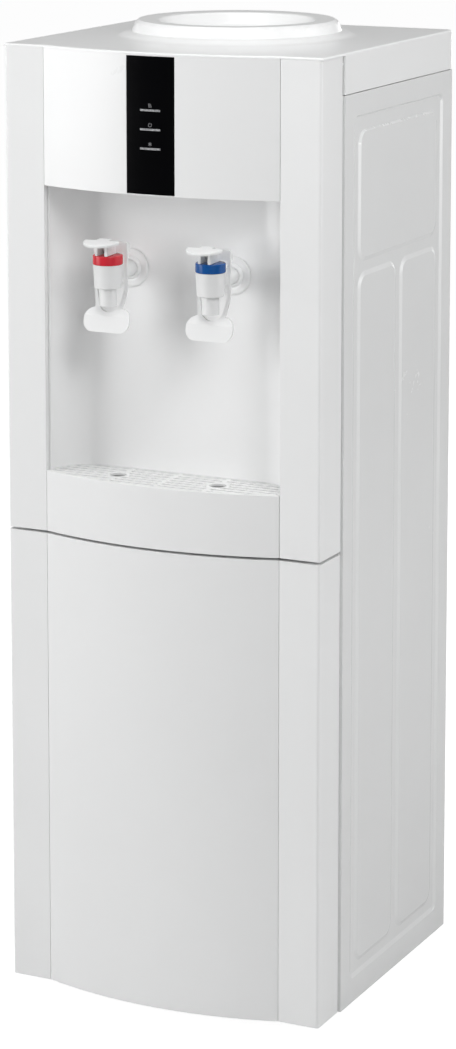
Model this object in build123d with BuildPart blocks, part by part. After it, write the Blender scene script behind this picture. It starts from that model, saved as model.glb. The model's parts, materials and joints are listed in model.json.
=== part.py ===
from build123d import *

import os
from math import atan2, cos, degrees, radians, sin, sqrt

# Floor-standing water cooler that takes a bottle on top: a pressed-steel cabinet with a moulded
# front, two lever taps over a drip tray, and a storage cupboard behind a hinged lower door.
# Millimetres. X runs to the viewer's right, -Y towards the viewer, +Z up. The origin is on the
# floor, under the middle of the whole cooler.

# ---------------------------------------------------------------- driving dimensions

# Cabinet and front
foot_height = 10.0
cabinet_height = 960.0  # lower edge of the side panels to the top of the cover
skirt_height = 40.0  # the cover's skirt above the side panels
division_height = 470.6  # middle of the gap between the door and the upper front
division_gap = 2.5
front_half = 171.5  # outer faces of the pillars
side_proud = 1.5  # the side panels stand this far outside the pillars
pillar_width = 43.2
pillar_depth = 49.5
pillar_y = -152.0  # front face of the pillars
front_bulge = 21.0  # how far the curved fronts swell ahead of the pillars
cabinet_gap = 2.0  # dark joint between the front mouldings and the cabinet
cabinet_depth = 272.5
cover_overhang = 4.0  # cover beyond the back of the side panels
cover_plate = 2.5
wall = 2.5  # moulded walls
sheet = 1.0  # steel sheet
fit = 0.2  # clearance between pieces that are pushed together
shaft_play = 0.1  # radial clearance of pins in their holes
panel_seam = 0.4
overrun = 5.0  # how far a cut runs past the face that it opens
edge_radius = 3.0

# Dispensing niche, tray and grille
apron_height = 62.9  # middle of the division gap to the niche's floor
header_height = 139.0  # niche's ceiling to the cover's top
niche_depth = 47.0  # pillar face to the niche's back wall
niche_wall = 2.0
apron_wall = 4.5  # behind the drip tray
niche_corner = 38.0
tray_depth = 32.0
tray_wall = 1.8
tray_front = 2.0  # apron left in front of the tray
grille_thickness = 2.5
slot_rows = 7
slot_pitch = 8.95
slot_width = 3.8
slot_border = 1.8
slot_first = 4.6  # back edge of the grille to the first row
grille_rib = 4.5
grille_rib_spacing = 53.0
grille_hole = 17.0
grille_hole_ring = 24.0
grille_hole_spacing = 110.0
grille_hole_back = 32.0  # hole centres ahead of the niche's back wall

# Control panel
panel_depth = 14.0  # the curved panel's edges reach this far behind the pillar faces
strip_width = 51.4
strip_thickness = 1.2
strip_margin = 1.4
lens_width = 21.8
lens_height = 2.0
lens_pitch = 18.65
lens_top = 53.0  # cover's top down to the highest lens
board_setback = 15.5  # board behind the panel's apex
board_thickness = 1.6
board_width = 36.0
board_height = 78.0
post_radius = 3.0
plug_width, plug_height, plug_depth = 16.0, 8.0, 6.0

# Side panel pressings
flange = 24.0
recess_front = 22.0
recess_back = 24.0
recess_bottom = 25.0
recess_top = 22.0
pressing_depth = 2.0
pressing_land = 17.5
pressing_gap = 19.0
pressing_drop = 213.0  # cover's top to the middle of the gap between upper and lower pads
pressing_radius = 12.0
recess_radius = 9.0

# Bottle collar and cover
collar_radius = 106.0
collar_height = 17.0  # rim above the cover
collar_mouth = 79.0
well_radius = 34.0
well_depth = 65.0  # cover's top down to the well's floor
bowl_depth = 17.0
land_radius = 122.0
land_height = 6.0
cover_hole = 97.5

# Taps
tap_room = 12.55  # tap flanges to the niche's round corners
tap_reach = 50.0  # niche wall to the tap's axis
tap_drop = 83.5  # niche's ceiling to the middle of the tap's shank
body_top_radius = 14.5
body_bottom_radius = 13.25
body_above = 10.5  # body's top edge above the shank's axis
body_below = 12.9
nozzle_radius = 8.5
nozzle_bore = 6.0
nozzle_length = 18.0
chamber_radius = 10.5
seat_thickness = 3.4
seat_hole = 5.5
shank_radius = 8.0
shank_bore = 4.5
shank_behind = 17.0  # shank beyond the niche wall's face
tap_collar_radius = 14.9
tap_collar_height = 9.5
flange_radius = 19.35
flange_height = 4.0
nut_flats = 24.0
nut_thickness = 7.0
stem_radius = 3.5
seal_radius = 7.5
seal_height = 5.3
spring_radius = 6.2
spring_wire = 1.0
spring_turns = 5

# Tap lever, in distances from the tap's axis and from its pivot
pivot_rise = 6.5  # pivot above the tap collar
eye_radius = 4.0
eye_half = 3.6
trunnion_radius = 2.0
cheek_thickness = 2.6
cheek_front = 14.5
cheek_back = 13.0
pad_chord = 11.6  # straight back edge of the thumb pad ahead of the axis
pad_radius = 18.5
pad_thickness = 2.6
pad_rise = 6.3  # underside of the pad above the pivot
pad_slope = 7.0
arm_setback = 6.5
arm_thickness = 2.5
arm_half = 18.2
arm_gap_half = 15.4
hood_rise = 5.6
notch_half = 11.0
paddle_half = 25.0
paddle_height = 23.0
paddle_top = 60.0  # paddle's shoulders below the pivot
paddle_corner = 10.0
hood_gap = 2.0  # underside of the hood above the tap collar
arm_foot = 3.4
notch_drop = 6.5  # bottom of the notch below the nozzle's mouth
lean_nozzle = 2.9  # the arms bend towards the viewer: at the nozzle's mouth,
lean_shoulder = 8.1  # at the paddle's shoulders
lean_tip = 12.0  # and at the paddle's lower edge

# Door
door_clearance = 1.0  # door above the cabinet's lower edge
hinge_inset = 6.5  # hinge axis from the door's side and from its back
hinge_pin = 2.5
hinge_head = 3.8
hinge_head_height = 2.5
hinge_boss = 6.0
hinge_depth = 13.0
door_recess = 4.0  # seat of the curved panel behind the pillar faces
door_skin = 2.5
liner_thickness = 2.5

# Inside
base_height = 11.0
base_rib = 3.0
foot_radius = 16.0
foot_chamfer = 1.5
foot_inset_x = 41.5  # foot's middle inside the pillars' outer faces
foot_inset_y = 31.25  # and inside the ends of the side panels
liner_gap = 0.5  # cupboard liner to the side panels' front flanges
liner_setback = 54.0  # cupboard liner ahead of the cabinet's back edge
liner_wall = 2.0
liner_corner = 8.0
deck_drop = 10.6  # division down to the deck's underside
deck_thickness = 2.0
leg_height = 28.0  # hot tank above the deck
hot_share = 0.485  # hot tank's part of the height between its legs and the taps
hot_inset = 88.0  # hot tank's axis inside the left side panel
hot_behind = 40.0  # hot tank's axis behind the cold tank's
hot_radius = 42.0
hot_corner = 3.0
leg_radius = 4.0
leg_spread = 27.0
loop_rise = 34.0  # hoses' level above the hot tank
loop_drop = 34.0  # and below the cold tank's jacket
jacket_floor = 12.0
jacket_wall = 20.0
jacket_drop = 20.0  # cover's top to the jacket's upper edge
tank_wall = 1.5
tank_corner = 8.0
module_size = 40.0
module_grip = 4.0  # how far the cooling module reaches round the tank
module_room = 3.0
sink_size = 92.0
sink_base = 5.0
sink_gap = 4.0
fin_depth = 23.0
fin_count = 12
fin_thickness = 1.6
fan_depth = 15.0
fan_standoff = 3.0
fan_bore = 43.0
fan_hub = 17.5
fan_blades = 7
hose_radius = 5.5
hose_bend = 14.0
hose_lead = 1.0  # straight hose between the tap's shank and the bend
riser_clearance = 4.65  # risers to the cold tank's jacket

# ---------------------------------------------------------------- places that follow from them

cabinet_z = foot_height
cover_top = cabinet_z + cabinet_height
cover_under = cover_top - cover_plate
skirt_z = cover_top - skirt_height
side_x = front_half + side_proud
cabinet_y = pillar_y + pillar_depth + cabinet_gap
back_y = cabinet_y + cabinet_depth
cover_back = back_y + cover_overhang
back_face = back_y - sheet  # outer face of the back panel
side_top = skirt_z - 0.8
division_z = cabinet_z + division_height
upper_z = division_z + division_gap / 2
door_top = division_z - division_gap / 2
door_z = cabinet_z + door_clearance
pillar_inner = front_half - pillar_width
panel_half = pillar_inner - panel_seam
front_radius = (pillar_inner**2 + front_bulge**2) / (2 * front_bulge)
arc_centre_y = pillar_y - front_bulge + front_radius
floor_z = division_z + apron_height
ceiling_z = cover_top - header_height
niche_y = pillar_y + niche_depth
niche_half = panel_half - niche_wall
apron_back = niche_y + apron_wall
tap_x = niche_half - niche_corner - flange_radius - tap_room
panel_back = pillar_y + panel_depth
axis_y = niche_y - tap_reach
shank_z = ceiling_z - tap_drop
body_z = shank_z - body_below
collar_z = shank_z + body_above
tap_top = collar_z + tap_collar_height
pivot_z = tap_top + pivot_rise
seat_z = body_z + seat_thickness
hinge_x = -(front_half - hinge_inset)
hinge_y = pillar_y + pillar_depth - hinge_inset
base_z = cabinet_z + sheet
base_top = base_z + base_height
deck_z = division_z - deck_drop
deck_top = deck_z + deck_thickness
liner_half = side_x - flange - liner_gap
liner_back = back_y - liner_setback

# from the back panel forward: fan, heat sink, jacket, and the risers behind the niche
sink_y = back_face - sheet - fan_standoff - fan_depth - fin_depth - sink_base
fin_end = sink_y + sink_base + fin_depth
jacket_back = sink_y - sink_gap
shank_end = niche_y + shank_behind
riser_y = shank_end + hose_bend + hose_lead
jacket_room = jacket_back - riser_y - hose_radius - riser_clearance
jacket_radius = (jacket_room**2 + tap_x**2) / (2 * jacket_room)  # just clears both risers
tank_radius = jacket_radius - jacket_wall
collar_y = jacket_back - jacket_radius
tank_back = collar_y + tank_radius
hot_x = hot_inset - side_x
hot_y = collar_y + hot_behind

# from the deck up: hot tank, hoses, cold tank
hot_z = deck_top + leg_height
hot_height = hot_share * (shank_z - hot_z)
hot_top = hot_z + hot_height
loop_z = hot_top + loop_rise
jacket_low = loop_z + loop_drop
tank_z = jacket_low + jacket_floor
module_mid = tank_z + (cover_top - tank_z) / 3

os.makedirs("parts", exist_ok=True)


def save(piece, name):
    """Labels a finished piece and writes it as its own file."""
    piece.part.label = name
    export_step(piece.part, f"parts/{name}.step")


# ---------------------------------------------------------------- shared outlines


def front_y(x, recess=0.0):
    """Y of the curved front, or of a surface that lies recess behind it."""
    return arc_centre_y - sqrt((front_radius - recess) ** 2 - x**2)


def front_block(z, half, recess, back):
    """Outline between the curved front and a straight back, as a sketch at height z."""
    side = front_y(half, recess)
    with BuildSketch(Plane.XY.offset(z)) as outline:
        with BuildLine():
            ThreePointArc((-half, side), (0, front_y(0, recess)), (half, side))
            Polyline((half, side), (half, back), (-half, back), (-half, side))
        make_face()
    return outline.sketch


def front_band(z, half, near, far):
    """Outline of a curved strip between two depths behind the front, as a sketch at height z."""
    with BuildSketch(Plane.XY.offset(z)) as outline:
        with BuildLine():
            ThreePointArc((-half, front_y(half, near)), (0, front_y(0, near)), (half, front_y(half, near)))
            Line((half, front_y(half, near)), (half, front_y(half, far)))
            ThreePointArc((half, front_y(half, far)), (0, front_y(0, far)), (-half, front_y(half, far)))
            Line((-half, front_y(half, far)), (-half, front_y(half, near)))
        make_face()
    return outline.sketch


def tray_outline(z, inset, front_recess):
    """The niche's plan, drawn in by inset: curved front, straight back, two large back corners."""
    half = niche_half - inset
    back = niche_y - inset
    corner = niche_corner - inset
    side = front_y(half, front_recess)
    with BuildSketch(Plane.XY.offset(z)) as outline:
        with BuildLine():
            ThreePointArc((-half, side), (0, front_y(0, front_recess)), (half, side))
            Line((half, side), (half, back - corner))
            RadiusArc((half, back - corner), (half - corner, back), -corner)
            Line((half - corner, back), (corner - half, back))
            RadiusArc((corner - half, back), (-half, back - corner), -corner)
            Line((-half, back - corner), (-half, side))
        make_face()
    return outline.sketch


def soften(section, corner, radius):
    """Rounds the corner of a sketch that lies nearest to a point of it."""
    fillet(section.vertices().sort_by_distance(corner)[0], radius)


def facing(x, y, z=0.0):
    """A plane that looks towards the viewer, with X to the right and Z up."""
    return Plane(origin=(x, y, z), x_dir=(1, 0, 0), z_dir=(0, -1, 0))


# ---------------------------------------------------------------- base, feet and cabinet

side_inner = side_x - sheet
base_half = side_inner - fit
base_front = cabinet_y + sheet + fit
base_back = back_y - 2 * sheet - fit
base_mid_y = (base_front + base_back) / 2
base_length = base_back - base_front

with BuildPart() as base_plate:
    with BuildSketch(Plane.XY.offset(base_z)):
        with Locations((0, base_mid_y)):
            Rectangle(2 * base_half, base_length)
    extrude(amount=base_top - base_z)
    with BuildSketch(Plane.XY.offset(base_z + wall)):
        with Locations((0, base_mid_y)):
            with GridLocations(2 * base_half / 3, base_length / 2, 3, 2):
                Rectangle(2 * base_half / 3 - base_rib, base_length / 2 - base_rib)
    extrude(amount=base_top - base_z, mode=Mode.SUBTRACT)
save(base_plate, "base_plate")

foot_spread_x = 2 * (front_half - foot_inset_x)
foot_spread_y = cabinet_depth - 2 * foot_inset_y
with BuildPart() as feet:
    with BuildSketch():
        with Locations((0, base_mid_y)):
            with GridLocations(foot_spread_x, foot_spread_y, 2, 2):
                Circle(foot_radius)
    extrude(amount=foot_height)
    chamfer(feet.faces().group_by(Axis.Z)[0].edges(), foot_chamfer)
    with BuildSketch(Plane.XY.offset(foot_height)):
        with Locations((0, base_mid_y)):
            with GridLocations(foot_spread_x, foot_spread_y, 2, 2):
                Circle(foot_radius / 2)
    extrude(amount=base_z - foot_height)
save(feet, "feet")

side_height = side_top - cabinet_z
side_mid = (cabinet_y + cabinet_depth / 2, cabinet_z + side_height / 2)
recess_low = (cabinet_y + recess_front, cabinet_z + recess_bottom)
recess_high = (back_y - recess_back, side_top - recess_top)
recess_size = (recess_high[0] - recess_low[0], recess_high[1] - recess_low[1])
recess_mid = ((recess_low[0] + recess_high[0]) / 2, (recess_low[1] + recess_high[1]) / 2)
split_z = cover_top - pressing_drop
pad_width = recess_size[0] - 2 * pressing_land
lower_low = recess_low[1] + pressing_land
lower_high = split_z - pressing_gap / 2
upper_low = split_z + pressing_gap / 2
upper_high = recess_high[1] - pressing_land
narrow_width = (pad_width - pressing_gap) / 2
narrow_shift = (narrow_width + pressing_gap) / 2
slant = sheet * (sqrt(2) - 1)  # keeps the sheet equally thick through the 45 degree walls


def pads(grow):
    """The three raised pads of a side panel, larger by grow on every side."""
    corner = pressing_radius + grow
    with Locations((recess_mid[0], (upper_low + upper_high) / 2)):
        RectangleRounded(pad_width + 2 * grow, upper_high - upper_low + 2 * grow, corner)
    for shift in (-narrow_shift, narrow_shift):
        with Locations((recess_mid[0] + shift, (lower_low + lower_high) / 2)):
            RectangleRounded(narrow_width + 2 * grow, lower_high - lower_low + 2 * grow, corner)


def recess(grow):
    """The sunk field of a side panel, larger by grow on every side."""
    with Locations(recess_mid):
        RectangleRounded(recess_size[0] + 2 * grow, recess_size[1] + 2 * grow, recess_radius + grow)


with BuildPart() as side_panel_right:
    with BuildSketch(Plane.YZ.offset(side_inner)):
        with Locations(side_mid):
            Rectangle(cabinet_depth, side_height)
    extrude(amount=sheet)
    # the field is pressed in: first the metal's inner side, then the hollow it leaves outside
    with BuildSketch(Plane.YZ.offset(side_inner - pressing_depth)):
        recess(slant - pressing_depth)
    extrude(amount=pressing_depth, taper=-45)
    with BuildSketch(Plane.YZ.offset(side_x - pressing_depth)):
        recess(-pressing_depth)
    extrude(amount=pressing_depth, taper=-45, mode=Mode.SUBTRACT)
    # the pads come back out to the level of the frame
    with BuildSketch(Plane.YZ.offset(side_x - pressing_depth)):
        pads(pressing_depth)
    extrude(amount=pressing_depth, taper=45)
    with BuildSketch(Plane.YZ.offset(side_inner - pressing_depth)):
        pads(pressing_depth - slant)
    extrude(amount=pressing_depth, taper=45, mode=Mode.SUBTRACT)
    # flanges at front, back, top and bottom
    with BuildSketch(Plane.XY.offset(cabinet_z)):
        with Locations((side_x, cabinet_y)):
            Rectangle(flange, sheet, align=(Align.MAX, Align.MIN))
        with Locations((side_x, back_y)):
            Rectangle(flange / 2, sheet, align=(Align.MAX, Align.MAX))
    extrude(amount=side_height)
    for level in (cabinet_z, side_top - sheet):
        with BuildSketch(Plane.XY.offset(level)):
            with Locations((side_x, cabinet_y)):
                Rectangle(flange / 2, cabinet_depth, align=(Align.MAX, Align.MIN))
        extrude(amount=sheet)
save(side_panel_right, "side_panel_right")

with BuildPart() as side_panel_left:
    mirror(side_panel_right.part, about=Plane.YZ)
save(side_panel_left, "side_panel_left")

# ---------------------------------------------------------------- back panel

louvre_width, louvre_rise, louvre_depth = 62.0, 7.0, 3.2
louvre_pitch = 12.0
louvre_rows = 8
louvre_x = 36.0
switch_x = (side_x - 68.0, side_x - 36.0)
switch_z = cover_top - 92.0
switch_width, switch_height = 13.6, 19.6
drain_radius = 9.0
drain_bend = 12.0
drain_z = hot_z - drain_bend - 1.0
gland_x, gland_z = side_x - 48.0, deck_top + 30.0
gland_radius = 8.0
back_low = cabinet_z + sheet + fit
back_high = side_top - sheet - fit

with BuildPart() as back_panel:
    with BuildSketch(facing(0, back_face, 0)):
        with Locations((0, (back_low + back_high) / 2)):
            Rectangle(2 * (side_inner - fit), back_high - back_low)
    extrude(amount=sheet)
    for side in (-1, 1):
        for row in range(louvre_rows):
            low = module_mid + (row - (louvre_rows - 1) / 2) * louvre_pitch - louvre_rise / 2
            for skin, mode in ((0.0, Mode.ADD), (sheet, Mode.SUBTRACT)):
                # a louvre is a slanted hood, open below
                with BuildSketch(Plane.YZ.offset(side * louvre_x - louvre_width / 2 + skin)):
                    with BuildLine():
                        Polyline(
                            (back_face - sheet, low - skin),
                            (back_face + louvre_depth - skin, low - skin),
                            (back_face + louvre_depth - skin, low + 1.5 - skin),
                            (back_face - sheet, low + louvre_rise + 1.5 - 2 * skin),
                            close=True,
                        )
                    make_face()
                extrude(amount=louvre_width - 2 * skin, mode=mode)
    with BuildSketch(facing(0, back_face + overrun)):
        for x in switch_x:
            with Locations((x, switch_z)):
                Rectangle(switch_width, switch_height)
        with Locations((hot_x, drain_z)):
            Circle(drain_radius + fit)
        with Locations((gland_x, gland_z)):
            Circle(gland_radius + fit)
    extrude(amount=2 * overrun, mode=Mode.SUBTRACT)
save(back_panel, "back_panel")

# ---------------------------------------------------------------- deck and cupboard liner

upstand_drop = 12.0  # niche's floor to the top of the upstand
deck_lap = 20.0
with BuildPart() as mid_deck:
    deck_half = side_inner - sheet - pressing_depth - fit
    with BuildSketch(Plane.XY.offset(deck_z)):
        with Locations((0, base_mid_y)):
            Rectangle(2 * deck_half, base_length)
    extrude(amount=deck_thickness)
    # front edge with the upstand that carries the apron
    for depth, height in ((deck_lap, deck_thickness), (deck_thickness, floor_z - upstand_drop - deck_z)):
        with BuildSketch(Plane.XY.offset(deck_z)):
            with Locations((0, apron_back)):
                Rectangle(2 * liner_half, depth, align=(Align.CENTER, Align.MIN))
        extrude(amount=height)
save(mid_deck, "mid_deck")

with BuildPart() as storage_liner:
    with BuildSketch(Plane.XY.offset(base_top)):
        with Locations((0, cabinet_y)):
            Rectangle(2 * liner_half, liner_back - cabinet_y, align=(Align.CENTER, Align.MIN))
    extrude(amount=deck_z - base_top)
    with BuildSketch(facing(0, cabinet_y - overrun)):
        with Locations((0, (base_top + deck_z) / 2)):
            inner_height = deck_z - base_top - 2 * liner_wall
            RectangleRounded(2 * (liner_half - liner_wall), inner_height, liner_corner)
    extrude(amount=-(liner_back - liner_wall - cabinet_y + overrun), mode=Mode.SUBTRACT)
save(storage_liner, "storage_liner")

magnet_z = cabinet_z + division_height / 2
magnet_gap = 0.3
magnet_width, magnet_height, magnet_depth = 18.0, 22.0, 20.0
strike_thickness = 1.0
strike_face = pillar_y + pillar_depth + strike_thickness
magnet_x = liner_half - liner_wall - magnet_width / 2
with BuildPart() as magnet_catch:
    with BuildSketch(facing(magnet_x, strike_face + magnet_gap, magnet_z)):
        Rectangle(magnet_width, magnet_height)
    extrude(amount=-magnet_depth)
    with BuildSketch(facing(magnet_x, strike_face + magnet_gap, magnet_z)):
        for shift in (-5.0, 5.0):
            with Locations((0, shift)):
                Rectangle(magnet_width - 4, 4.0)
    extrude(amount=-1.0, mode=Mode.SUBTRACT)
save(magnet_catch, "magnet_catch")

# ---------------------------------------------------------------- top cover and bottle collar

land_taper = degrees(atan2(land_radius - collar_radius - 2.0, land_height))

with BuildPart() as top_cover:
    with BuildSketch(Plane.XY.offset(skirt_z)):
        with Locations((0, pillar_y)):
            Rectangle(2 * side_x, cover_back - pillar_y, align=(Align.CENTER, Align.MIN))
        add(front_block(0, pillar_inner, 0, pillar_y + 1))
    extrude(amount=skirt_height)
    rear = top_cover.edges().filter_by(Axis.Z).group_by(Axis.Y)[-1]
    fillet(rear, 8.0)
    # under the plate the skirt stays at the sides and back only
    with BuildSketch(Plane.XY.offset(skirt_z)):
        with Locations((0, cabinet_y)):
            cleared = 2 * (pillar_depth + front_bulge)
            Rectangle(2 * (side_x + overrun), cleared, align=(Align.CENTER, Align.MAX))
        with Locations((0, cover_back - wall)):
            Rectangle(2 * (side_x - wall), cabinet_depth + 2 * overrun, align=(Align.CENTER, Align.MAX))
    extrude(amount=skirt_height - cover_plate, mode=Mode.SUBTRACT)
    fillet(top_cover.faces().sort_by(Axis.Z)[-1].outer_wire().edges(), cover_plate - 0.4)
    # flared land round the bottle collar
    with BuildSketch(Plane.XY.offset(cover_top)):
        with Locations((0, collar_y)):
            Circle(land_radius)
    extrude(amount=land_height, taper=land_taper)
    with BuildSketch(Plane.XY.offset(skirt_z)):
        with Locations((0, collar_y)):
            Circle(cover_hole)
    extrude(amount=skirt_height + land_height + overrun, mode=Mode.SUBTRACT)
    # ribs that stand on the side panels' top flanges
    for side in (-1, 1):
        with BuildSketch(Plane.XY.offset(side_top)):
            with Locations((side * (side_x - flange / 3), (cabinet_y + back_y) / 2)):
                Rectangle(2.0, cabinet_depth - 40.0)
        extrude(amount=cover_under - side_top)
save(top_cover, "top_cover")

rim_top = cover_top + collar_height
rim_slope = 4.0  # the mouth's edge rises over this width
rim_edge = 1.0
rim_shoulder = 3.5
rim_thickness = 5.5
mouth_lip = 6.0  # the mouth's wall leans in by this
mouth_low = cover_top + collar_height / 3
land_top = cover_top + land_height
well_floor = cover_top - well_depth
well_lip = 4.0
bowl_low = cover_top - bowl_depth
bowl_blend = 10.0
well_blend = 6.0
spike_radius = 8.9
skirt_radius = cover_hole - 1.0
collar_wall = 2.5

with BuildPart() as bottle_collar:
    with BuildSketch(Plane.XZ.offset(-collar_y)) as section:
        with BuildLine():
            Polyline(
                (spike_radius, well_floor),
                (well_radius, well_floor),
                (well_radius, bowl_low - well_blend),
                (well_radius + well_lip, bowl_low),
                (collar_mouth - mouth_lip, mouth_low),
                (collar_mouth, rim_top - rim_edge),
                (collar_mouth + rim_slope, rim_top),
                (collar_radius - 2 * rim_shoulder, rim_top),
                (collar_radius - rim_shoulder, rim_top - collar_wall),
                (collar_radius, land_top),
                (skirt_radius, land_top),
                (skirt_radius, cover_under),
                (skirt_radius - collar_wall, cover_under),
                (skirt_radius - collar_wall, rim_top - rim_thickness),
                (collar_mouth + rim_edge / 2, rim_top - rim_thickness),
                (collar_mouth - mouth_lip + collar_wall, mouth_low - collar_wall),
                (well_radius + well_blend, bowl_low - collar_wall),
                (well_radius + collar_wall, bowl_low - well_blend - rim_edge),
                (well_radius + collar_wall, well_floor - collar_wall),
                (spike_radius, well_floor - collar_wall),
                close=True,
            )
        make_face()
        soften(section, (collar_mouth - mouth_lip, mouth_low), bowl_blend)
        soften(section, (well_radius + well_lip, bowl_low), well_blend)
        soften(section, (collar_mouth, rim_top - rim_edge), 1.5 * rim_edge)
    revolve(axis=Axis((0, collar_y, 0), (0, 0, 1)))
save(bottle_collar, "bottle_collar")

spike_height = 38.0
spike_point = 12.0
spike_tip = 1.5
spike_wall = 2.5
spike_collar = 5.0  # shoulder under the well's floor
spike_shoulder = 3.0
spike_tail = 20.0
spike_slots = 4
slot_wide, slot_high, slot_level = 4.0, 12.0, 8.0
spike_outer = spike_radius - fit
spike_bore = spike_outer - spike_wall
spike_low = well_floor - collar_wall - spike_shoulder
spike_high = well_floor + spike_height
with BuildPart() as feed_spike:
    with BuildSketch(Plane.XZ.offset(-collar_y)):
        with BuildLine():
            Polyline(
                (spike_bore, spike_low - spike_tail),
                (spike_outer, spike_low - spike_tail),
                (spike_outer, spike_low),
                (spike_outer + spike_collar, spike_low),
                (spike_outer + spike_collar, well_floor - collar_wall),
                (spike_outer, well_floor - collar_wall),
                (spike_outer, spike_high - spike_point),
                (spike_tip, spike_high),
                (0.0, spike_high),
                (0.0, spike_high - spike_shoulder),
                (spike_bore, spike_high - spike_point - spike_tip),
                close=True,
            )
        make_face()
    revolve(axis=Axis((0, collar_y, 0), (0, 0, 1)))
    with BuildSketch(Plane.XY.offset(well_floor + slot_level)):
        with Locations((0, collar_y)):
            with PolarLocations(spike_outer, spike_slots):
                Rectangle(spike_outer, slot_wide)
    extrude(amount=slot_high, mode=Mode.SUBTRACT)
save(feed_spike, "feed_spike")

# ---------------------------------------------------------------- upper front mouldings

pillar_back = pillar_y + pillar_depth
pillar_mid = front_half - pillar_width / 2
web_x = side_x - flange + 4.0


def make_pillar(side):
    """One upper pillar: a channel open at the back, with a web that seats on the side panel."""
    height = cover_under - upper_z
    with BuildPart() as pillar:
        with BuildSketch(Plane.XY.offset(upper_z)):
            with Locations((side * pillar_mid, pillar_y)):
                Rectangle(pillar_width, pillar_depth, align=(Align.CENTER, Align.MIN))
        extrude(amount=height)
        front_corner = (side * front_half, pillar_y, upper_z + height / 2)
        back_corner = (side * front_half, pillar_back, upper_z + height / 2)
        for corner, radius in ((front_corner, edge_radius), (back_corner, edge_radius / 2)):
            fillet(pillar.edges().filter_by(Axis.Z).sort_by_distance(corner)[0], radius)
        with BuildSketch(Plane.XY.offset(upper_z + wall)):
            with Locations((side * pillar_mid, pillar_y + wall)):
                Rectangle(pillar_width - 2 * wall, pillar_depth, align=(Align.CENTER, Align.MIN))
        extrude(amount=height - 2 * wall, mode=Mode.SUBTRACT)
        with BuildSketch(Plane.XY.offset(upper_z)):
            with Locations((side * web_x, pillar_y + wall / 2)):
                Rectangle(2.0, cabinet_y - pillar_y - wall / 2, align=(Align.CENTER, Align.MIN))
        extrude(amount=height - 2 * wall - 20.0)
        if side < 0:
            with Locations((hinge_x, hinge_y, upper_z)):
                Cylinder(hinge_pin + shaft_play, 4 * wall, mode=Mode.SUBTRACT)
    return pillar


save(make_pillar(-1), "pillar_left")
save(make_pillar(1), "pillar_right")

strip_low = ceiling_z + strip_margin
strip_height = cover_under - ceiling_z - 2 * strip_margin
strip_half = strip_width / 2
board_y = pillar_y - front_bulge + board_setback
lens_levels = [cover_top - lens_top - lens_pitch * step - 3.0 for step in range(3)]
board_mid = lens_levels[1]
post_shift = board_height / 2 - 7.0

with BuildPart() as control_panel:
    height = cover_under - ceiling_z
    extrude(front_block(ceiling_z, panel_half, 0, panel_back), amount=height)
    inside = front_block(ceiling_z + wall, panel_half - wall, wall, panel_back + overrun)
    extrude(inside, amount=height - 2 * wall, mode=Mode.SUBTRACT)
    slot = front_band(strip_low - fit, strip_half + fit, -overrun, strip_thickness)
    extrude(slot, amount=strip_height + 2 * fit, mode=Mode.SUBTRACT)
    with BuildSketch(facing(0, panel_back)):
        for level in lens_levels:
            with Locations((0, level)):
                Rectangle(lens_width + 4 * fit, lens_height + 4 * fit)
    extrude(amount=4 * panel_depth, mode=Mode.SUBTRACT)
    with BuildSketch(facing(0, board_y)):
        with Locations((0, board_mid - post_shift), (0, board_mid + post_shift)):
            Circle(post_radius)
    extrude(amount=board_y - front_y(0, wall) + 0.4)
save(control_panel, "control_panel")

with BuildPart() as display_strip:
    extrude(front_band(strip_low, strip_half, 0, strip_thickness), amount=strip_height)
    with BuildSketch(facing(0, panel_back)):
        for level in lens_levels:
            with Locations((0, level)):
                Rectangle(lens_width + fit, lens_height + fit)
    extrude(amount=4 * panel_depth, mode=Mode.SUBTRACT)
save(display_strip, "display_strip")

with BuildPart() as indicator_lenses:
    for level in lens_levels:
        extrude(front_block(level - lens_height / 2, lens_width / 2, 0, board_y), amount=lens_height)
save(indicator_lenses, "indicator_lenses")

with BuildPart() as indicator_board:
    with BuildSketch(facing(0, board_y, board_mid)):
        Rectangle(board_width, board_height)
    extrude(amount=-board_thickness)
    with BuildSketch(facing(0, board_y + board_thickness, board_mid - board_height / 2 + 14.0)):
        Rectangle(plug_width, plug_height)
    extrude(amount=-plug_depth)
save(indicator_board, "indicator_board")

shank_hole = shank_radius + fit
niche_back = niche_y + niche_wall
with BuildPart() as niche_liner:
    liner_front = pillar_y + 6.0
    with BuildSketch(Plane.XY.offset(floor_z)):
        with Locations((0, liner_front)):
            Rectangle(2 * panel_half, niche_back - liner_front, align=(Align.CENTER, Align.MIN))
    extrude(amount=ceiling_z - floor_z)
    fillet(niche_liner.edges().filter_by(Axis.Z).group_by(Axis.Y)[-1], niche_corner + niche_wall)
    extrude(tray_outline(floor_z, 0, 0), amount=ceiling_z - floor_z, mode=Mode.SUBTRACT)
    with BuildSketch(Plane.XY.offset(ceiling_z)):
        with Locations((0, panel_back)):
            Rectangle(2 * panel_half, niche_back - panel_back, align=(Align.CENTER, Align.MIN))
    extrude(amount=niche_wall)
    with BuildSketch(facing(0, niche_y - overrun, shank_z)):
        with Locations((-tap_x, 0), (tap_x, 0)):
            Circle(shank_hole)
    extrude(amount=-3 * overrun, mode=Mode.SUBTRACT)
save(niche_liner, "niche_liner")

tray_top = floor_z - grille_thickness
tray_low = tray_top - tray_depth
pocket_low = tray_low - fit
with BuildPart() as apron:
    extrude(front_block(upper_z, panel_half, 0, apron_back), amount=floor_z - upper_z)
    pocket = tray_outline(pocket_low, 0, tray_front)
    extrude(pocket, amount=floor_z - pocket_low, mode=Mode.SUBTRACT)
    # hollow below the tray, open at the back
    inside = front_block(upper_z + wall, panel_half - wall, wall, apron_back + overrun)
    extrude(inside, amount=pocket_low - upper_z - 2 * wall, mode=Mode.SUBTRACT)
save(apron, "apron")

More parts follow.
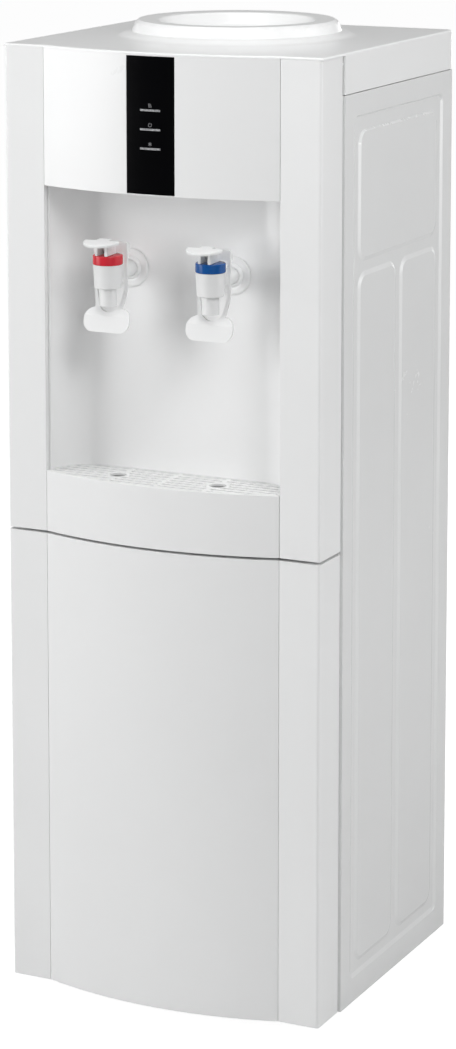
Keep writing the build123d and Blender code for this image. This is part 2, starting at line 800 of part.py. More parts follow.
with BuildPart() as drip_tray:
    extrude(tray_outline(tray_low, 2 * fit, tray_front + 2 * fit), amount=tray_depth)
    inset = 2 * fit + tray_wall
    well = tray_outline(tray_low + tray_wall, inset, tray_front + inset)
    extrude(well, amount=tray_depth - tray_wall, mode=Mode.SUBTRACT)
save(drip_tray, "drip_tray")

with BuildPart() as drip_grille:
    extrude(tray_outline(tray_top, 2 * fit, tray_front + 2 * fit), amount=grille_thickness)
    with BuildSketch(Plane.XY.offset(tray_top)):
        for row in range(slot_rows):
            with Locations((0, niche_y - slot_first - row * slot_pitch)):
                Rectangle(2 * niche_half, slot_width)
        for rib in (-grille_rib_spacing, 0, grille_rib_spacing):
            with Locations((rib, niche_y)):
                Rectangle(grille_rib, 4 * niche_depth, mode=Mode.SUBTRACT)
        with Locations((0, niche_y - grille_hole_back)):
            with GridLocations(grille_hole_spacing, 1, 2, 1):
                Circle(grille_hole_ring / 2, mode=Mode.SUBTRACT)
        with Locations((0, niche_y - grille_hole_back)):
            with GridLocations(grille_hole_spacing, 1, 2, 1):
                Circle(grille_hole / 2)
        add(tray_outline(0, slot_border + 2 * fit, tray_front + 2 * fit + slot_border), mode=Mode.INTERSECT)
    extrude(amount=grille_thickness, mode=Mode.SUBTRACT)
save(drip_grille, "drip_grille")

# ---------------------------------------------------------------- taps


def make_tap_body(x):
    """A tap's moulding: tapered chamber, outlet nozzle and the shank through the niche wall."""
    with BuildPart() as body:
        with BuildSketch(Plane.XZ.offset(-axis_y)) as section:
            with BuildLine():
                Polyline(
                    (x, body_z - nozzle_length),
                    (x + nozzle_radius, body_z - nozzle_length),
                    (x + nozzle_radius, body_z),
                    (x + body_bottom_radius, body_z),
                    (x + body_top_radius, collar_z),
                    (x, collar_z),
                    close=True,
                )
            make_face()
            soften(section, (x + body_bottom_radius, body_z), 1.5)
            soften(section, (x + nozzle_radius, body_z - nozzle_length), 0.8)
        revolve(axis=Axis((x, axis_y, 0), (0, 0, 1)))
        with BuildSketch(facing(x, axis_y, shank_z)):
            Circle(shank_radius)
        extrude(amount=-(niche_y + shank_behind - axis_y))
        with BuildSketch(Plane.XY.offset(seat_z)):
            with Locations((x, axis_y)):
                Circle(chamber_radius)
        extrude(amount=collar_z - seat_z, mode=Mode.SUBTRACT)
        with BuildSketch(Plane.XY.offset(body_z)):
            with Locations((x, axis_y)):
                Circle(seat_hole)
        extrude(amount=seat_thickness + 1.0, mode=Mode.SUBTRACT)
        with BuildSketch(Plane.XY.offset(body_z - nozzle_length)):
            with Locations((x, axis_y)):
                Circle(nozzle_bore)
        extrude(amount=nozzle_length, mode=Mode.SUBTRACT)
        with BuildSketch(facing(x, axis_y + chamber_radius - 1.0, shank_z)):
            Circle(shank_bore)
        extrude(amount=-(niche_y + shank_behind - axis_y), mode=Mode.SUBTRACT)
    return body


def make_tap_collar(x):
    """The coloured ring that closes the tap's chamber and guides the stem."""
    with BuildPart() as ring:
        with BuildSketch(Plane.XY.offset(collar_z)):
            with Locations((x, axis_y)):
                Circle(tap_collar_radius)
                Circle(stem_radius + 2 * shaft_play, mode=Mode.SUBTRACT)
        extrude(amount=tap_collar_height)
        rims = ring.edges().filter_by(GeomType.CIRCLE).group_by(SortBy.RADIUS)[-1]
        chamfer(rims, 0.8)
    return ring


def make_tap_stem(x):
    """The rod that lifts the seal, with an eye and a cross pin for the lever."""
    with BuildPart() as stem:
        with BuildSketch(Plane.XY.offset(seat_z + seal_height)):
            with Locations((x, axis_y)):
                Circle(stem_radius)
        extrude(amount=pivot_z - seat_z - seal_height)
        with BuildSketch(Plane.YZ.offset(x - eye_half)):
            with Locations((axis_y, pivot_z)):
                Circle(eye_radius)
        extrude(amount=2 * eye_half)
        with BuildSketch(Plane.YZ.offset(x - eye_half - cheek_thickness - fit)):
            with Locations((axis_y, pivot_z)):
                Circle(trunnion_radius)
        extrude(amount=2 * (eye_half + cheek_thickness + fit))
        with BuildSketch(Plane.XY.offset(seat_z + 1.5)):
            with Locations((x, axis_y)):
                Circle(stem_radius - 1.0)
        extrude(amount=seal_height)
    return stem


def make_tap_seal(x):
    """The soft stopper on the stem's foot that closes the seat."""
    with BuildPart() as seal:
        with BuildSketch(Plane.XZ.offset(-axis_y)):
            with BuildLine():
                Polyline(
                    (x, seat_z + fit),
                    (x + seal_radius, seat_z + fit),
                    (x + seal_radius, seat_z + fit + 2.5),
                    (x + seal_radius - 2.5, seat_z + seal_height),
                    (x, seat_z + seal_height),
                    close=True,
                )
            make_face()
        revolve(axis=Axis((x, axis_y, 0), (0, 0, 1)))
        with BuildSketch(Plane.XY.offset(seat_z + 1.5)):
            with Locations((x, axis_y)):
                Circle(stem_radius - 1.0)
        extrude(amount=seal_height, mode=Mode.SUBTRACT)
    return seal


spring_low = seat_z + seal_height + spring_wire / 2 + fit
spring_high = collar_z - spring_wire / 2 - fit


def make_tap_spring(x):
    """The coil that pushes the stem down."""
    rise = spring_high - spring_low
    with BuildPart() as spring:
        with BuildLine():
            Helix(rise / spring_turns, rise, spring_radius, center=(x, axis_y, spring_low))
        with BuildSketch(Plane.XZ.offset(-axis_y)):
            with Locations((x + spring_radius, spring_low)):
                Rectangle(spring_wire, spring_wire)
        sweep(is_frenet=True)
    return spring


nozzle_z = body_z - nozzle_length
cheek_inner = eye_half + fit + shaft_play
paddle_low = pivot_z - paddle_top - paddle_height
shoulder_z = paddle_low + paddle_height - 2.0
bend_z = shoulder_z - paddle_height / 4
hood_top = pivot_z + hood_rise
cheek_low = tap_top + shaft_play + fit
pad_low = pivot_z + pad_rise
slope = radians(pad_slope)


def pad_plane(x):
    """Underside of the thumb pad: through its straight back edge, sloping down towards the viewer."""
    edge = (x, axis_y - pad_chord, pad_low)
    return Plane(origin=edge, x_dir=(1, 0, 0), z_dir=(0, -sin(slope), cos(slope)))


def pad_rim(x):
    """A point on the top edge of the pad's curved front."""
    return pad_plane(x).from_local_coords((0, -pad_radius, pad_thickness))


def make_tap_lever(x):
    """The lever: thumb pad, two cheeks on the pin, two arms past the body, and the paddle."""
    with BuildPart() as lever:
        # arms and paddle: their front view, cut to their bent side view
        with BuildSketch(facing(x, axis_y + paddle_half)):
            with BuildLine():
                Polyline(
                    (-arm_half, hood_top),
                    (arm_half, hood_top),
                    (arm_half, body_z),
                    (notch_half + arm_foot, shoulder_z),
                    (-notch_half - arm_foot, shoulder_z),
                    (-arm_half, body_z),
                    close=True,
                )
            make_face()
            with Locations((0, paddle_low + paddle_height / 2)):
                RectangleRounded(2 * paddle_half, paddle_height, paddle_corner)
            with BuildLine():
                Polyline(
                    (-notch_half, nozzle_z),
                    (-arm_gap_half, body_z),
                    (-arm_gap_half, tap_top + hood_gap),
                    (arm_gap_half, tap_top + hood_gap),
                    (arm_gap_half, body_z),
                    (notch_half, nozzle_z),
                )
                ThreePointArc((notch_half, nozzle_z), (0, nozzle_z - notch_drop), (-notch_half, nozzle_z))
            make_face(mode=Mode.SUBTRACT)
        extrude(amount=2 * paddle_half)
        with BuildSketch(Plane.YZ.offset(x - paddle_half)):
            with BuildLine():
                near = axis_y + arm_setback - arm_thickness / 2
                far = near + arm_thickness
                for y in (near, far):
                    ThreePointArc((y, body_z), (y - lean_nozzle, nozzle_z), (y - lean_shoulder, bend_z))
                    Line((y, hood_top), (y, body_z))
                    Line((y - lean_shoulder, bend_z), (y - lean_tip, paddle_low))
                Line((near, hood_top), (far, hood_top))
                Line((near - lean_tip, paddle_low), (far - lean_tip, paddle_low))
            make_face()
        extrude(amount=2 * paddle_half, mode=Mode.INTERSECT)
        # hood that joins the arms to the cheeks
        with BuildSketch(facing(x, axis_y + cheek_back, tap_top + hood_gap)) as hood:
            Rectangle(2 * arm_half, hood_top - tap_top - hood_gap, align=(Align.CENTER, Align.MIN))
            fillet(hood.vertices().group_by(Axis.Y)[-1], 5.0)
        extrude(amount=cheek_back - arm_setback + arm_thickness / 2)
        for side in (-1, 1):
            with BuildSketch(Plane.YZ.offset(x + side * (cheek_inner + cheek_thickness / 2))):
                with BuildLine():
                    Polyline(
                        (axis_y - cheek_front, cheek_low),
                        (axis_y + cheek_back, cheek_low + 1.0),
                        (axis_y + cheek_back, hood_top - 1.0),
                        (axis_y - cheek_inner, pad_low + 1.0),
                        (axis_y - cheek_front, pad_low),
                        close=True,
                    )
                make_face()
            extrude(amount=cheek_thickness / 2, both=True)
        with BuildSketch(Plane.YZ.offset(x - arm_half)):
            with Locations((axis_y, pivot_z)):
                Circle(trunnion_radius + shaft_play)
        extrude(amount=2 * arm_half, mode=Mode.SUBTRACT)
        with BuildSketch(pad_plane(x)):
            Circle(pad_radius)
            Rectangle(2 * pad_radius, pad_radius, align=(Align.CENTER, Align.MIN), mode=Mode.SUBTRACT)
            web = 2 * (cheek_inner + cheek_thickness)
            Rectangle(web, pad_chord - cheek_inner, align=(Align.CENTER, Align.MIN))
        extrude(amount=pad_thickness)
        fillet(lever.edges().sort_by_distance(pad_rim(x))[0], 0.9)
    return lever


with BuildPart() as tap_flanges:
    for x in (-tap_x, tap_x):
        with BuildSketch(Plane.XY.offset(shank_z)) as section:
            with BuildLine():
                Polyline(
                    (x + shank_radius + fit, niche_y),
                    (x + flange_radius, niche_y),
                    (x + flange_radius, niche_y - 1.6),
                    (x + flange_radius - 2.5, niche_y - flange_height * 0.7),
                    (x + flange_radius - 5.5, niche_y - flange_height * 0.7),
                    (x + flange_radius - 7.5, niche_y - flange_height * 0.45),
                    (x + shank_radius + 1.8, niche_y - flange_height),
                    (x + shank_radius + fit, niche_y - flange_height),
                    close=True,
                )
            make_face()
        revolve(axis=Axis((x, 0, shank_z), (0, 1, 0)))
save(tap_flanges, "tap_flanges")

with BuildPart() as tap_nuts:
    with BuildSketch(facing(0, niche_back, shank_z)):
        with Locations((-tap_x, 0), (tap_x, 0)):
            RegularPolygon(nut_flats / 2, 6, major_radius=False)
            Circle(shank_radius + shaft_play, mode=Mode.SUBTRACT)
    extrude(amount=-nut_thickness)
save(tap_nuts, "tap_nuts")

for label, x in (("hot", -tap_x), ("cold", tap_x)):
    save(make_tap_body(x), f"{label}_tap_body")
    save(make_tap_collar(x), f"{label}_tap_collar")
    save(make_tap_stem(x), f"{label}_tap_stem")
    save(make_tap_seal(x), f"{label}_tap_seal")
    save(make_tap_spring(x), f"{label}_tap_spring")
    save(make_tap_lever(x), f"{label}_tap_lever")

# ---------------------------------------------------------------- door

frame_back = pillar_back
door_height = door_top - door_z
seat_y = pillar_y + door_recess
inner_half = front_half - wall

with BuildPart() as door_frame:
    with BuildSketch(Plane.XY.offset(door_z)):
        with Locations((0, pillar_y)):
            Rectangle(2 * front_half, pillar_depth, align=(Align.CENTER, Align.MIN))
    extrude(amount=door_height)
    uprights = door_frame.edges().filter_by(Axis.Z)
    fillet(uprights, edge_radius)
    # seat of the curved panel
    with BuildSketch(Plane.XY.offset(door_z)):
        with Locations((0, pillar_y)):
            Rectangle(2 * pillar_inner, 2 * door_recess)
    extrude(amount=door_height, mode=Mode.SUBTRACT)
    # hollow, open at the back: behind the panel, and deeper in the two pillars
    with BuildSketch(Plane.XY.offset(door_z + wall)):
        with Locations((0, seat_y + door_skin)):
            Rectangle(2 * inner_half, pillar_depth, align=(Align.CENTER, Align.MIN))
        for side in (-1, 1):
            with Locations((side * pillar_mid, pillar_y + wall)):
                Rectangle(pillar_width - 2 * wall, pillar_depth, align=(Align.CENTER, Align.MIN))
    extrude(amount=door_height - 2 * wall, mode=Mode.SUBTRACT)
    # bosses for the hinge pins
    with BuildSketch(Plane.XY.offset(door_z)):
        with Locations((hinge_x, hinge_y)):
            Circle(hinge_boss)
    extrude(amount=hinge_depth)
    with BuildSketch(Plane.XY.offset(door_top)):
        with Locations((hinge_x, hinge_y)):
            Circle(hinge_boss)
    extrude(amount=-hinge_depth)
    with BuildSketch(Plane.XY.offset(door_z)):
        with Locations((hinge_x, hinge_y)):
            Circle(hinge_pin + shaft_play)
    extrude(amount=door_height, mode=Mode.SUBTRACT)
save(door_frame, "door_frame")

with BuildPart() as door_panel:
    extrude(front_block(door_z, panel_half, 0, seat_y), amount=door_height)
    extrude(
        front_block(door_z + wall, panel_half - wall, wall, seat_y + overrun),
        amount=door_height - 2 * wall,
        mode=Mode.SUBTRACT,
    )
save(door_panel, "door_panel")

liner_low = door_z + wall + fit
liner_high = door_top - wall - fit
pan_border = 45.0
boss_room = 1.5
pan_corner = 14.0
pan_depth = 10.0
pan_width = 2 * (inner_half - pan_border)
pan_height = liner_high - liner_low - 2 * pan_border
with BuildPart() as door_liner:
    with BuildSketch(facing(0, frame_back, (liner_low + liner_high) / 2)):
        Rectangle(2 * (inner_half - fit), liner_high - liner_low)
        for level in (-1, 1):
            with Locations((hinge_x, level * (liner_high - liner_low) / 2)):
                Rectangle(2 * (hinge_boss + boss_room), 2 * hinge_depth, mode=Mode.SUBTRACT)
    extrude(amount=liner_thickness)
    with BuildSketch(facing(0, frame_back, (liner_low + liner_high) / 2)):
        RectangleRounded(pan_width, pan_height, pan_corner)
    extrude(amount=pan_depth)
    with BuildSketch(facing(0, frame_back, (liner_low + liner_high) / 2)):
        step = 2 * liner_thickness
        RectangleRounded(pan_width - step, pan_height - step, pan_corner - 2.0)
    extrude(amount=pan_depth - liner_thickness, taper=5, mode=Mode.SUBTRACT)
save(door_liner, "door_liner")

with BuildPart() as strike_plate:
    with BuildSketch(facing(magnet_x, strike_face, magnet_z)):
        RectangleRounded(magnet_width, magnet_height, 2.0)
    extrude(amount=strike_thickness)
save(strike_plate, "strike_plate")

hinge_plate_thickness = 2.0
hinge_plate_length = 60.0
hinge_plate_border = 2.0
with BuildPart() as hinge_plate:
    with BuildSketch(Plane.XY.offset(cabinet_z)):
        with Locations((hinge_x + hinge_plate_border, hinge_y - hinge_boss)):
            width = 2 * (hinge_boss + hinge_plate_border)
            Rectangle(width, hinge_plate_length, align=(Align.CENTER, Align.MIN))
    extrude(amount=-hinge_plate_thickness)
    with BuildSketch(Plane.XY.offset(cabinet_z)):
        with Locations((hinge_x, hinge_y)):
            Circle(hinge_boss)
    extrude(amount=door_clearance - fit)
    with BuildSketch(Plane.XY.offset(cabinet_z)):
        with Locations((hinge_x, hinge_y)):
            Circle(hinge_pin)
    extrude(amount=hinge_depth)
save(hinge_plate, "hinge_plate")

with BuildPart() as hinge_pin_upper:
    with BuildSketch(Plane.XY.offset(upper_z + wall)):
        with Locations((hinge_x, hinge_y)):
            Circle(hinge_head)
    extrude(amount=hinge_head_height)
    with BuildSketch(Plane.XY.offset(upper_z + wall)):
        with Locations((hinge_x, hinge_y)):
            Circle(hinge_pin)
    extrude(amount=-(wall + division_gap + hinge_depth - 1.0))
save(hinge_pin_upper, "hinge_pin_upper")

# ---------------------------------------------------------------- cold side

tank_flange = cover_hole + 7.0
tank_rim = cover_under - wall
tank_seat = skirt_radius - collar_wall - fit  # the collar's spigot stands on the raised outer ring
stub_radius = 3.5
hose_bore = stub_radius + 0.3
stub_length = 24.0
cold_stub = (30.0, collar_y - 20.0)
feed_stub = (-30.0, collar_y)

with BuildPart() as cold_tank:
    with BuildSketch(Plane.XZ.offset(-collar_y)) as section:
        with BuildLine():
            Polyline(
                (0, tank_z),
                (tank_radius, tank_z),
                (tank_radius, tank_rim - tank_wall),
                (tank_flange, tank_rim - tank_wall),
                (tank_flange, cover_under),
                (tank_seat, cover_under),
                (tank_seat, tank_rim),
                (tank_radius - tank_wall, tank_rim),
                (tank_radius - tank_wall, tank_z + tank_wall),
                (0, tank_z + tank_wall),
                close=True,
            )
        make_face()
        soften(section, (tank_radius, tank_z), tank_corner)
        soften(section, (tank_radius - tank_wall, tank_z + tank_wall), tank_corner - tank_wall)
    revolve(axis=Axis((0, collar_y, 0), (0, 0, 1)))
    with BuildSketch(Plane.XY.offset(tank_z + tank_wall)):
        with Locations(cold_stub, feed_stub):
            Circle(stub_radius)
    extrude(amount=-stub_length)
    with BuildSketch(Plane.XY.offset(tank_z + 2 * tank_wall)):
        with Locations(cold_stub, feed_stub):
            Circle(stub_radius - 1.0)
    extrude(amount=-2 * stub_length, mode=Mode.SUBTRACT)
save(cold_tank, "cold_tank")

window = module_size + 2 * module_room
with BuildPart() as cold_tank_jacket:
    with BuildSketch(Plane.XY.offset(jacket_low)):
        with Locations((0, collar_y)):
            Circle(jacket_radius)
    extrude(amount=cover_top - jacket_drop - jacket_low)
    chamfer(cold_tank_jacket.edges(), 3.0)
    with BuildSketch(Plane.XY.offset(tank_z)):
        with Locations((0, collar_y)):
            Circle(tank_radius + 0.3)
    extrude(amount=cover_top - tank_z, mode=Mode.SUBTRACT)
    with BuildSketch(Plane.XY.offset(jacket_low)):
        with Locations(cold_stub, feed_stub):
            Circle(stub_radius + 0.3)
    extrude(amount=jacket_floor, mode=Mode.SUBTRACT)
    with BuildSketch(facing(0, jacket_back + overrun, module_mid)):
        Rectangle(window, window)
    extrude(amount=jacket_radius - tank_radius + 4 * overrun, mode=Mode.SUBTRACT)
save(cold_tank_jacket, "cold_tank_jacket")

with BuildPart() as cooling_module:
    with BuildSketch(Plane.XY.offset(module_mid - module_size / 2)):
        with Locations((0, sink_y)):
            Rectangle(module_size, sink_y - tank_back + module_grip, align=(Align.CENTER, Align.MAX))
        with Locations((0, collar_y)):
            Circle(tank_radius + 0.3, mode=Mode.SUBTRACT)
    extrude(amount=module_size)
save(cooling_module, "cooling_module")

with BuildPart() as heat_sink:
    with BuildSketch(facing(0, sink_y, module_mid)):
        Rectangle(sink_size, sink_size)
    extrude(amount=-sink_base)
    fin_pitch = (sink_size - fin_thickness) / (fin_count - 1)
    with BuildSketch(facing(0, sink_y + sink_base, module_mid)):
        with GridLocations(fin_pitch, 1, fin_count, 1):
            Rectangle(fin_thickness, sink_size)
    extrude(amount=-fin_depth)
save(heat_sink, "heat_sink")

fan_back = fin_end + fan_depth
fan_axle = 2.0
spider_thickness = 2.0
fan_corner = sink_size / 2 - 6.0
with BuildPart() as fan_frame:
    with BuildSketch(facing(0, fin_end, module_mid)):
        RectangleRounded(sink_size, sink_size, 4.0)
        Circle(fan_bore, mode=Mode.SUBTRACT)
    extrude(amount=-fan_depth)
    with BuildSketch(facing(0, fan_back, module_mid)):
        Circle(fan_hub)
        with PolarLocations(0, 4, 45):
            with Locations((fan_bore / 2 + 2.0, 0)):
                Rectangle(fan_bore, 4.0)
        Circle(fan_axle + shaft_play, mode=Mode.SUBTRACT)
    extrude(amount=spider_thickness)
    # feet that screw to the back panel
    with BuildSketch(facing(0, fan_back, module_mid)):
        with GridLocations(2 * fan_corner, 2 * fan_corner, 2, 2):
            Circle(4.0)
    extrude(amount=-(back_face - sheet - fan_back))
save(fan_frame, "fan_frame")

blade_gap = 1.5
blade_pitch = 32.0
with BuildPart() as fan_rotor:
    with BuildSketch(facing(0, fin_end + 1.5, module_mid)):
        Circle(fan_hub)
    extrude(amount=-(fan_depth - spider_thickness - 2.5))
    with BuildSketch(facing(0, fan_back - spider_thickness - 2.0, module_mid)):
        Circle(fan_axle)
    extrude(amount=-(spider_thickness + 1.5))
    blade_y = fin_end + fan_depth / 2 - 0.5
    for turn in range(fan_blades):
        around = 360.0 * turn / fan_blades
        outward = Plane(
            origin=(0, blade_y, module_mid),
            x_dir=(-sin(radians(around)), 0, cos(radians(around))),
            z_dir=(cos(radians(around)), 0, sin(radians(around))),
        )
        with BuildSketch(outward.offset(fan_hub - 1.0)):
            with Locations(Location((0, 0), blade_pitch)):
                Rectangle(17.0, 1.4)
        extrude(amount=fan_bore - blade_gap - fan_hub + 1.0)
save(fan_rotor, "fan_rotor")

# ---------------------------------------------------------------- hot side

with BuildPart() as hot_tank:
    with BuildSketch(Plane.XY.offset(hot_z)):
        with Locations((hot_x, hot_y)):
            Circle(hot_radius)
    extrude(amount=hot_height)
    fillet(hot_tank.edges(), hot_corner)
    with BuildSketch(Plane.XY.offset(hot_z + tank_wall)):
        with Locations((hot_x, hot_y)):
            Circle(hot_radius - tank_wall)
    extrude(amount=hot_height - 2 * tank_wall, mode=Mode.SUBTRACT)
    # legs that stand on the deck
    with BuildSketch(Plane.XY.offset(deck_top)):
        with Locations((hot_x, hot_y)):
            with PolarLocations(leg_spread, 3, 30):
                Circle(leg_radius)
    extrude(amount=hot_z - deck_top)
save(hot_tank, "hot_tank")

band_height = hot_height / 4
band_thickness = 2.7
lug_length, lug_width, lug_slit = 22.0, 10.0, 2.0
with BuildPart() as heater_band:
    with BuildSketch(Plane.XY.offset(hot_z + band_height)):
        with Locations((hot_x, hot_y)):
            Circle(hot_radius + 0.3 + band_thickness)
            Circle(hot_radius + 0.3, mode=Mode.SUBTRACT)
        with Locations((hot_x + hot_radius, hot_y)):
            Rectangle(lug_length, lug_width, align=(Align.MIN, Align.CENTER))
            Rectangle(lug_length + overrun, lug_slit, align=(Align.MIN, Align.CENTER), mode=Mode.SUBTRACT)
    extrude(amount=band_height)
save(heater_band, "heater_band")

thermostat_radius = 8.0
thermostat_neck = 6.0
thermostat_cap, thermostat_height = 5.0, 9.0
thermostat_spread = 44.0
with BuildPart() as thermostats:
    for radius, height in ((thermostat_radius, thermostat_cap), (thermostat_neck, thermostat_height)):
        with BuildSketch(Plane.XY.offset(hot_top)):
            with Locations((hot_x, hot_y)):
                with GridLocations(thermostat_spread, 1, 2, 1):
                    Circle(radius)
        extrude(amount=height)
save(thermostats, "thermostats")


def make_hose(*path):
    """A soft tube along straight runs with rounded bends, ending square at both ends."""
    start, after = Vector(*path[0]), Vector(*path[1])
    with BuildPart() as hose:
        with BuildLine():
            FilletPolyline(*path, radius=hose_bend)
        with BuildSketch(Plane(origin=start, z_dir=after - start)):
            Circle(hose_radius)
            Circle(hose_bore, mode=Mode.SUBTRACT)
        sweep()
    return hose


cold_hose = make_hose(
    (cold_stub[0], cold_stub[1], jacket_low),
    (cold_stub[0], cold_stub[1], loop_z),
    (tap_x, riser_y, loop_z),
    (tap_x, riser_y, shank_z),
    (tap_x, shank_end, shank_z),
)
save(cold_hose, "cold_hose")

hot_hose = make_hose(
    (hot_x, hot_y, hot_top),
    (hot_x, hot_y, loop_z),
    (-tap_x, riser_y, loop_z),
    (-tap_x, riser_y, shank_z),
    (-tap_x, shank_end, shank_z),
)
save(hot_hose, "hot_hose")

feed_port = (hot_x + 18.0, hot_y + 24.0)
feed_z = loop_z - 14.0
feed_hose = make_hose(
    (feed_stub[0], feed_stub[1], jacket_low),
    (feed_stub[0], feed_stub[1], feed_z),
    (feed_port[0], feed_port[1], feed_z),
    (feed_port[0], feed_port[1], hot_top),
)
save(feed_hose, "feed_hose")

spigot_end = back_face + 7.0
with BuildPart() as drain_pipe:
    with BuildLine():
        corner = (hot_x, hot_y, drain_z)
        FilletPolyline((hot_x, hot_y, hot_z), corner, (hot_x, spigot_end, drain_z), radius=drain_bend)
    with BuildSketch(Plane.XY.offset(hot_z)):
        with Locations((hot_x, hot_y)):
            Circle(hose_radius)
    sweep()
    # threaded end behind the back panel, and its flange inside
    with BuildSketch(facing(hot_x, back_face - sheet, drain_z)):
        Circle(drain_radius)
    extrude(amount=-(spigot_end - back_face + sheet))
    with BuildSketch(facing(hot_x, back_face - sheet, drain_z)):
        Circle(drain_radius + 4.0)
    extrude(amount=3.0)
    with BuildSketch(facing(hot_x, spigot_end, drain_z)):
        Circle(hose_bore)
    extrude(amount=spigot_end - hot_y - 2 * hose_bend, mode=Mode.SUBTRACT)
save(drain_pipe, "drain_pipe")

cap_wall = 3.0
cap_end = back_face + 14.0
cap_lobes = 12
cap_radius = drain_radius + 0.3 + cap_wall
with BuildPart() as drain_cap:
    with BuildSketch(facing(hot_x, back_face + 0.5, drain_z)):
        Circle(cap_radius)
    extrude(amount=-(cap_end - back_face - 0.5))
    chamfer(drain_cap.faces().sort_by(Axis.Y)[-1].edges(), 1.0)
    with BuildSketch(facing(hot_x, back_face + 0.5, drain_z)):
        with PolarLocations(cap_radius + 0.6, cap_lobes):
            Circle(1.2)
    extrude(amount=-(cap_end - back_face - 0.5), mode=Mode.SUBTRACT)
    with BuildSketch(facing(hot_x, back_face + 0.5, drain_z)):
        Circle(drain_radius + 0.3)
    extrude(amount=-(spigot_end - back_face), mode=Mode.SUBTRACT)
save(drain_cap, "drain_cap")

# ---------------------------------------------------------------- electrics

board_centre = (side_x - 63.0, back_face - 71.0)
board_size = (76.0, 84.0)
board_inset = 4.0
standoff = 8.0
standoff_radius = 2.5
transformer = (34.0, 30.0, 26.0)
capacitor_radius, capacitor_height = 7.0, 22.0
terminal = (7.5, 10.0, 10.0)
terminal_count = 5
circuit_z = deck_top + standoff
parts_z = circuit_z + board_thickness
with BuildPart() as power_board:
    with BuildSketch(Plane.XY.offset(circuit_z)):
        with Locations(board_centre):
            Rectangle(*board_size)
    extrude(amount=board_thickness)
    with BuildSketch(Plane.XY.offset(deck_top)):
        with Locations(board_centre):
            with GridLocations(board_size[0] - 2 * board_inset, board_size[1] - 2 * board_inset, 2, 2):
                Circle(standoff_radius)
    extrude(amount=standoff)
    # transformer, two capacitors and a row of terminals, each drawn in from the board's edges
    with BuildSketch(Plane.XY.offset(parts_z)):
        x = board_centre[0] - (board_size[0] - transformer[0]) / 2 + 2 * board_inset
        y = board_centre[1] - (board_size[1] - transformer[1]) / 2 + 2 * board_inset
        with Locations((x, y)):
            Rectangle(transformer[0], transformer[1])
    extrude(amount=transformer[2])
    with BuildSketch(Plane.XY.offset(parts_z)):
        with Locations((board_centre[0] + board_size[0] / 2 - 2 * capacitor_radius - board_inset, y)):
            with GridLocations(1, 2 * capacitor_radius + board_inset, 1, 2):
                Circle(capacitor_radius)
    extrude(amount=capacitor_height)
    with BuildSketch(Plane.XY.offset(parts_z)):
        y = board_centre[1] + (board_size[1] - terminal[1]) / 2 - 2 * board_inset
        with Locations((board_centre[0], y)):
            with GridLocations(1.2 * terminal[0], 1, terminal_count, 1):
                Rectangle(terminal[0], terminal[1])
    extrude(amount=terminal[2])
save(power_board, "power_board")

bezel_lip = 1.4
bezel_proud = 1.5
bezel_deep = 16.0
pocket_deep = 11.0
rocker_clear = 0.2
pocket_wall = 1.6
pocket_width = switch_width - 2 * pocket_wall
pocket_height = switch_height - 2 * pocket_wall
rocker_y = back_face - 3.5
rocker_half = pocket_width / 2 - rocker_clear
rocker_reach = pocket_height / 2 - 1.0
rocker_tilt = 8.0
rocker_pin = 1.2
rocker_face = 5.0
rocker_root = 3.0
rocker_edge = 1.0
rocker_dip = 0.8
rocker_draft = 2.5
blade_width, blade_thickness, blade_length = 4.8, 0.8, 8.0
with BuildPart() as switch_bezels:
    for x in switch_x:
        with BuildSketch(facing(x, back_face, switch_z)):
            RectangleRounded(switch_width + 2 * bezel_lip, switch_height + 2 * bezel_lip, 1.5)
        extrude(amount=-bezel_proud)
        with BuildSketch(facing(x, back_face, switch_z)):
            Rectangle(switch_width - 2 * fit, switch_height - 2 * fit)
        extrude(amount=bezel_deep)
        with BuildSketch(facing(x, back_face + bezel_proud, switch_z)):
            Rectangle(pocket_width, pocket_height)
        extrude(amount=pocket_deep + bezel_proud, mode=Mode.SUBTRACT)
        with BuildSketch(Plane.YZ.offset(x - switch_width / 2)):
            with Locations((rocker_y, switch_z)):
                Circle(rocker_pin + shaft_play)
        extrude(amount=switch_width, mode=Mode.SUBTRACT)
        # two blade terminals behind
        with BuildSketch(facing(x, back_face - bezel_deep, switch_z)):
            with GridLocations(1, switch_height / 2, 1, 2):
                Rectangle(blade_width, blade_thickness)
        extrude(amount=blade_length)
save(switch_bezels, "switch_bezels")


def make_rocker(x):
    """A rocker switch's button: a shallow V that tips on a cross pin, at rest with one end in."""
    tilted = Plane(origin=(x - rocker_half, rocker_y, switch_z), x_dir=(0, 1, 0), z_dir=(1, 0, 0))
    tilted = tilted.rotated((rocker_tilt, 0, 0))
    with BuildPart() as rocker:
        with BuildSketch(tilted):
            with BuildLine():
                Polyline(
                    (-rocker_root, rocker_draft - rocker_reach),
                    (rocker_face - rocker_edge, -rocker_reach),
                    (rocker_face, -rocker_reach),
                    (rocker_face - rocker_dip, 0),
                    (rocker_face, rocker_reach),
                    (rocker_face - rocker_edge, rocker_reach),
                    (-rocker_root, rocker_reach - rocker_draft),
                    close=True,
                )
            make_face()
        extrude(amount=2 * rocker_half)
        with BuildSketch(Plane.YZ.offset(x - switch_width / 2 + 2 * fit)):
            with Locations((rocker_y, switch_z)):
                Circle(rocker_pin)
        extrude(amount=switch_width - 4 * fit)
    return rocker


save(make_rocker(switch_x[0]), "hot_switch")
save(make_rocker(switch_x[1]), "cold_switch")

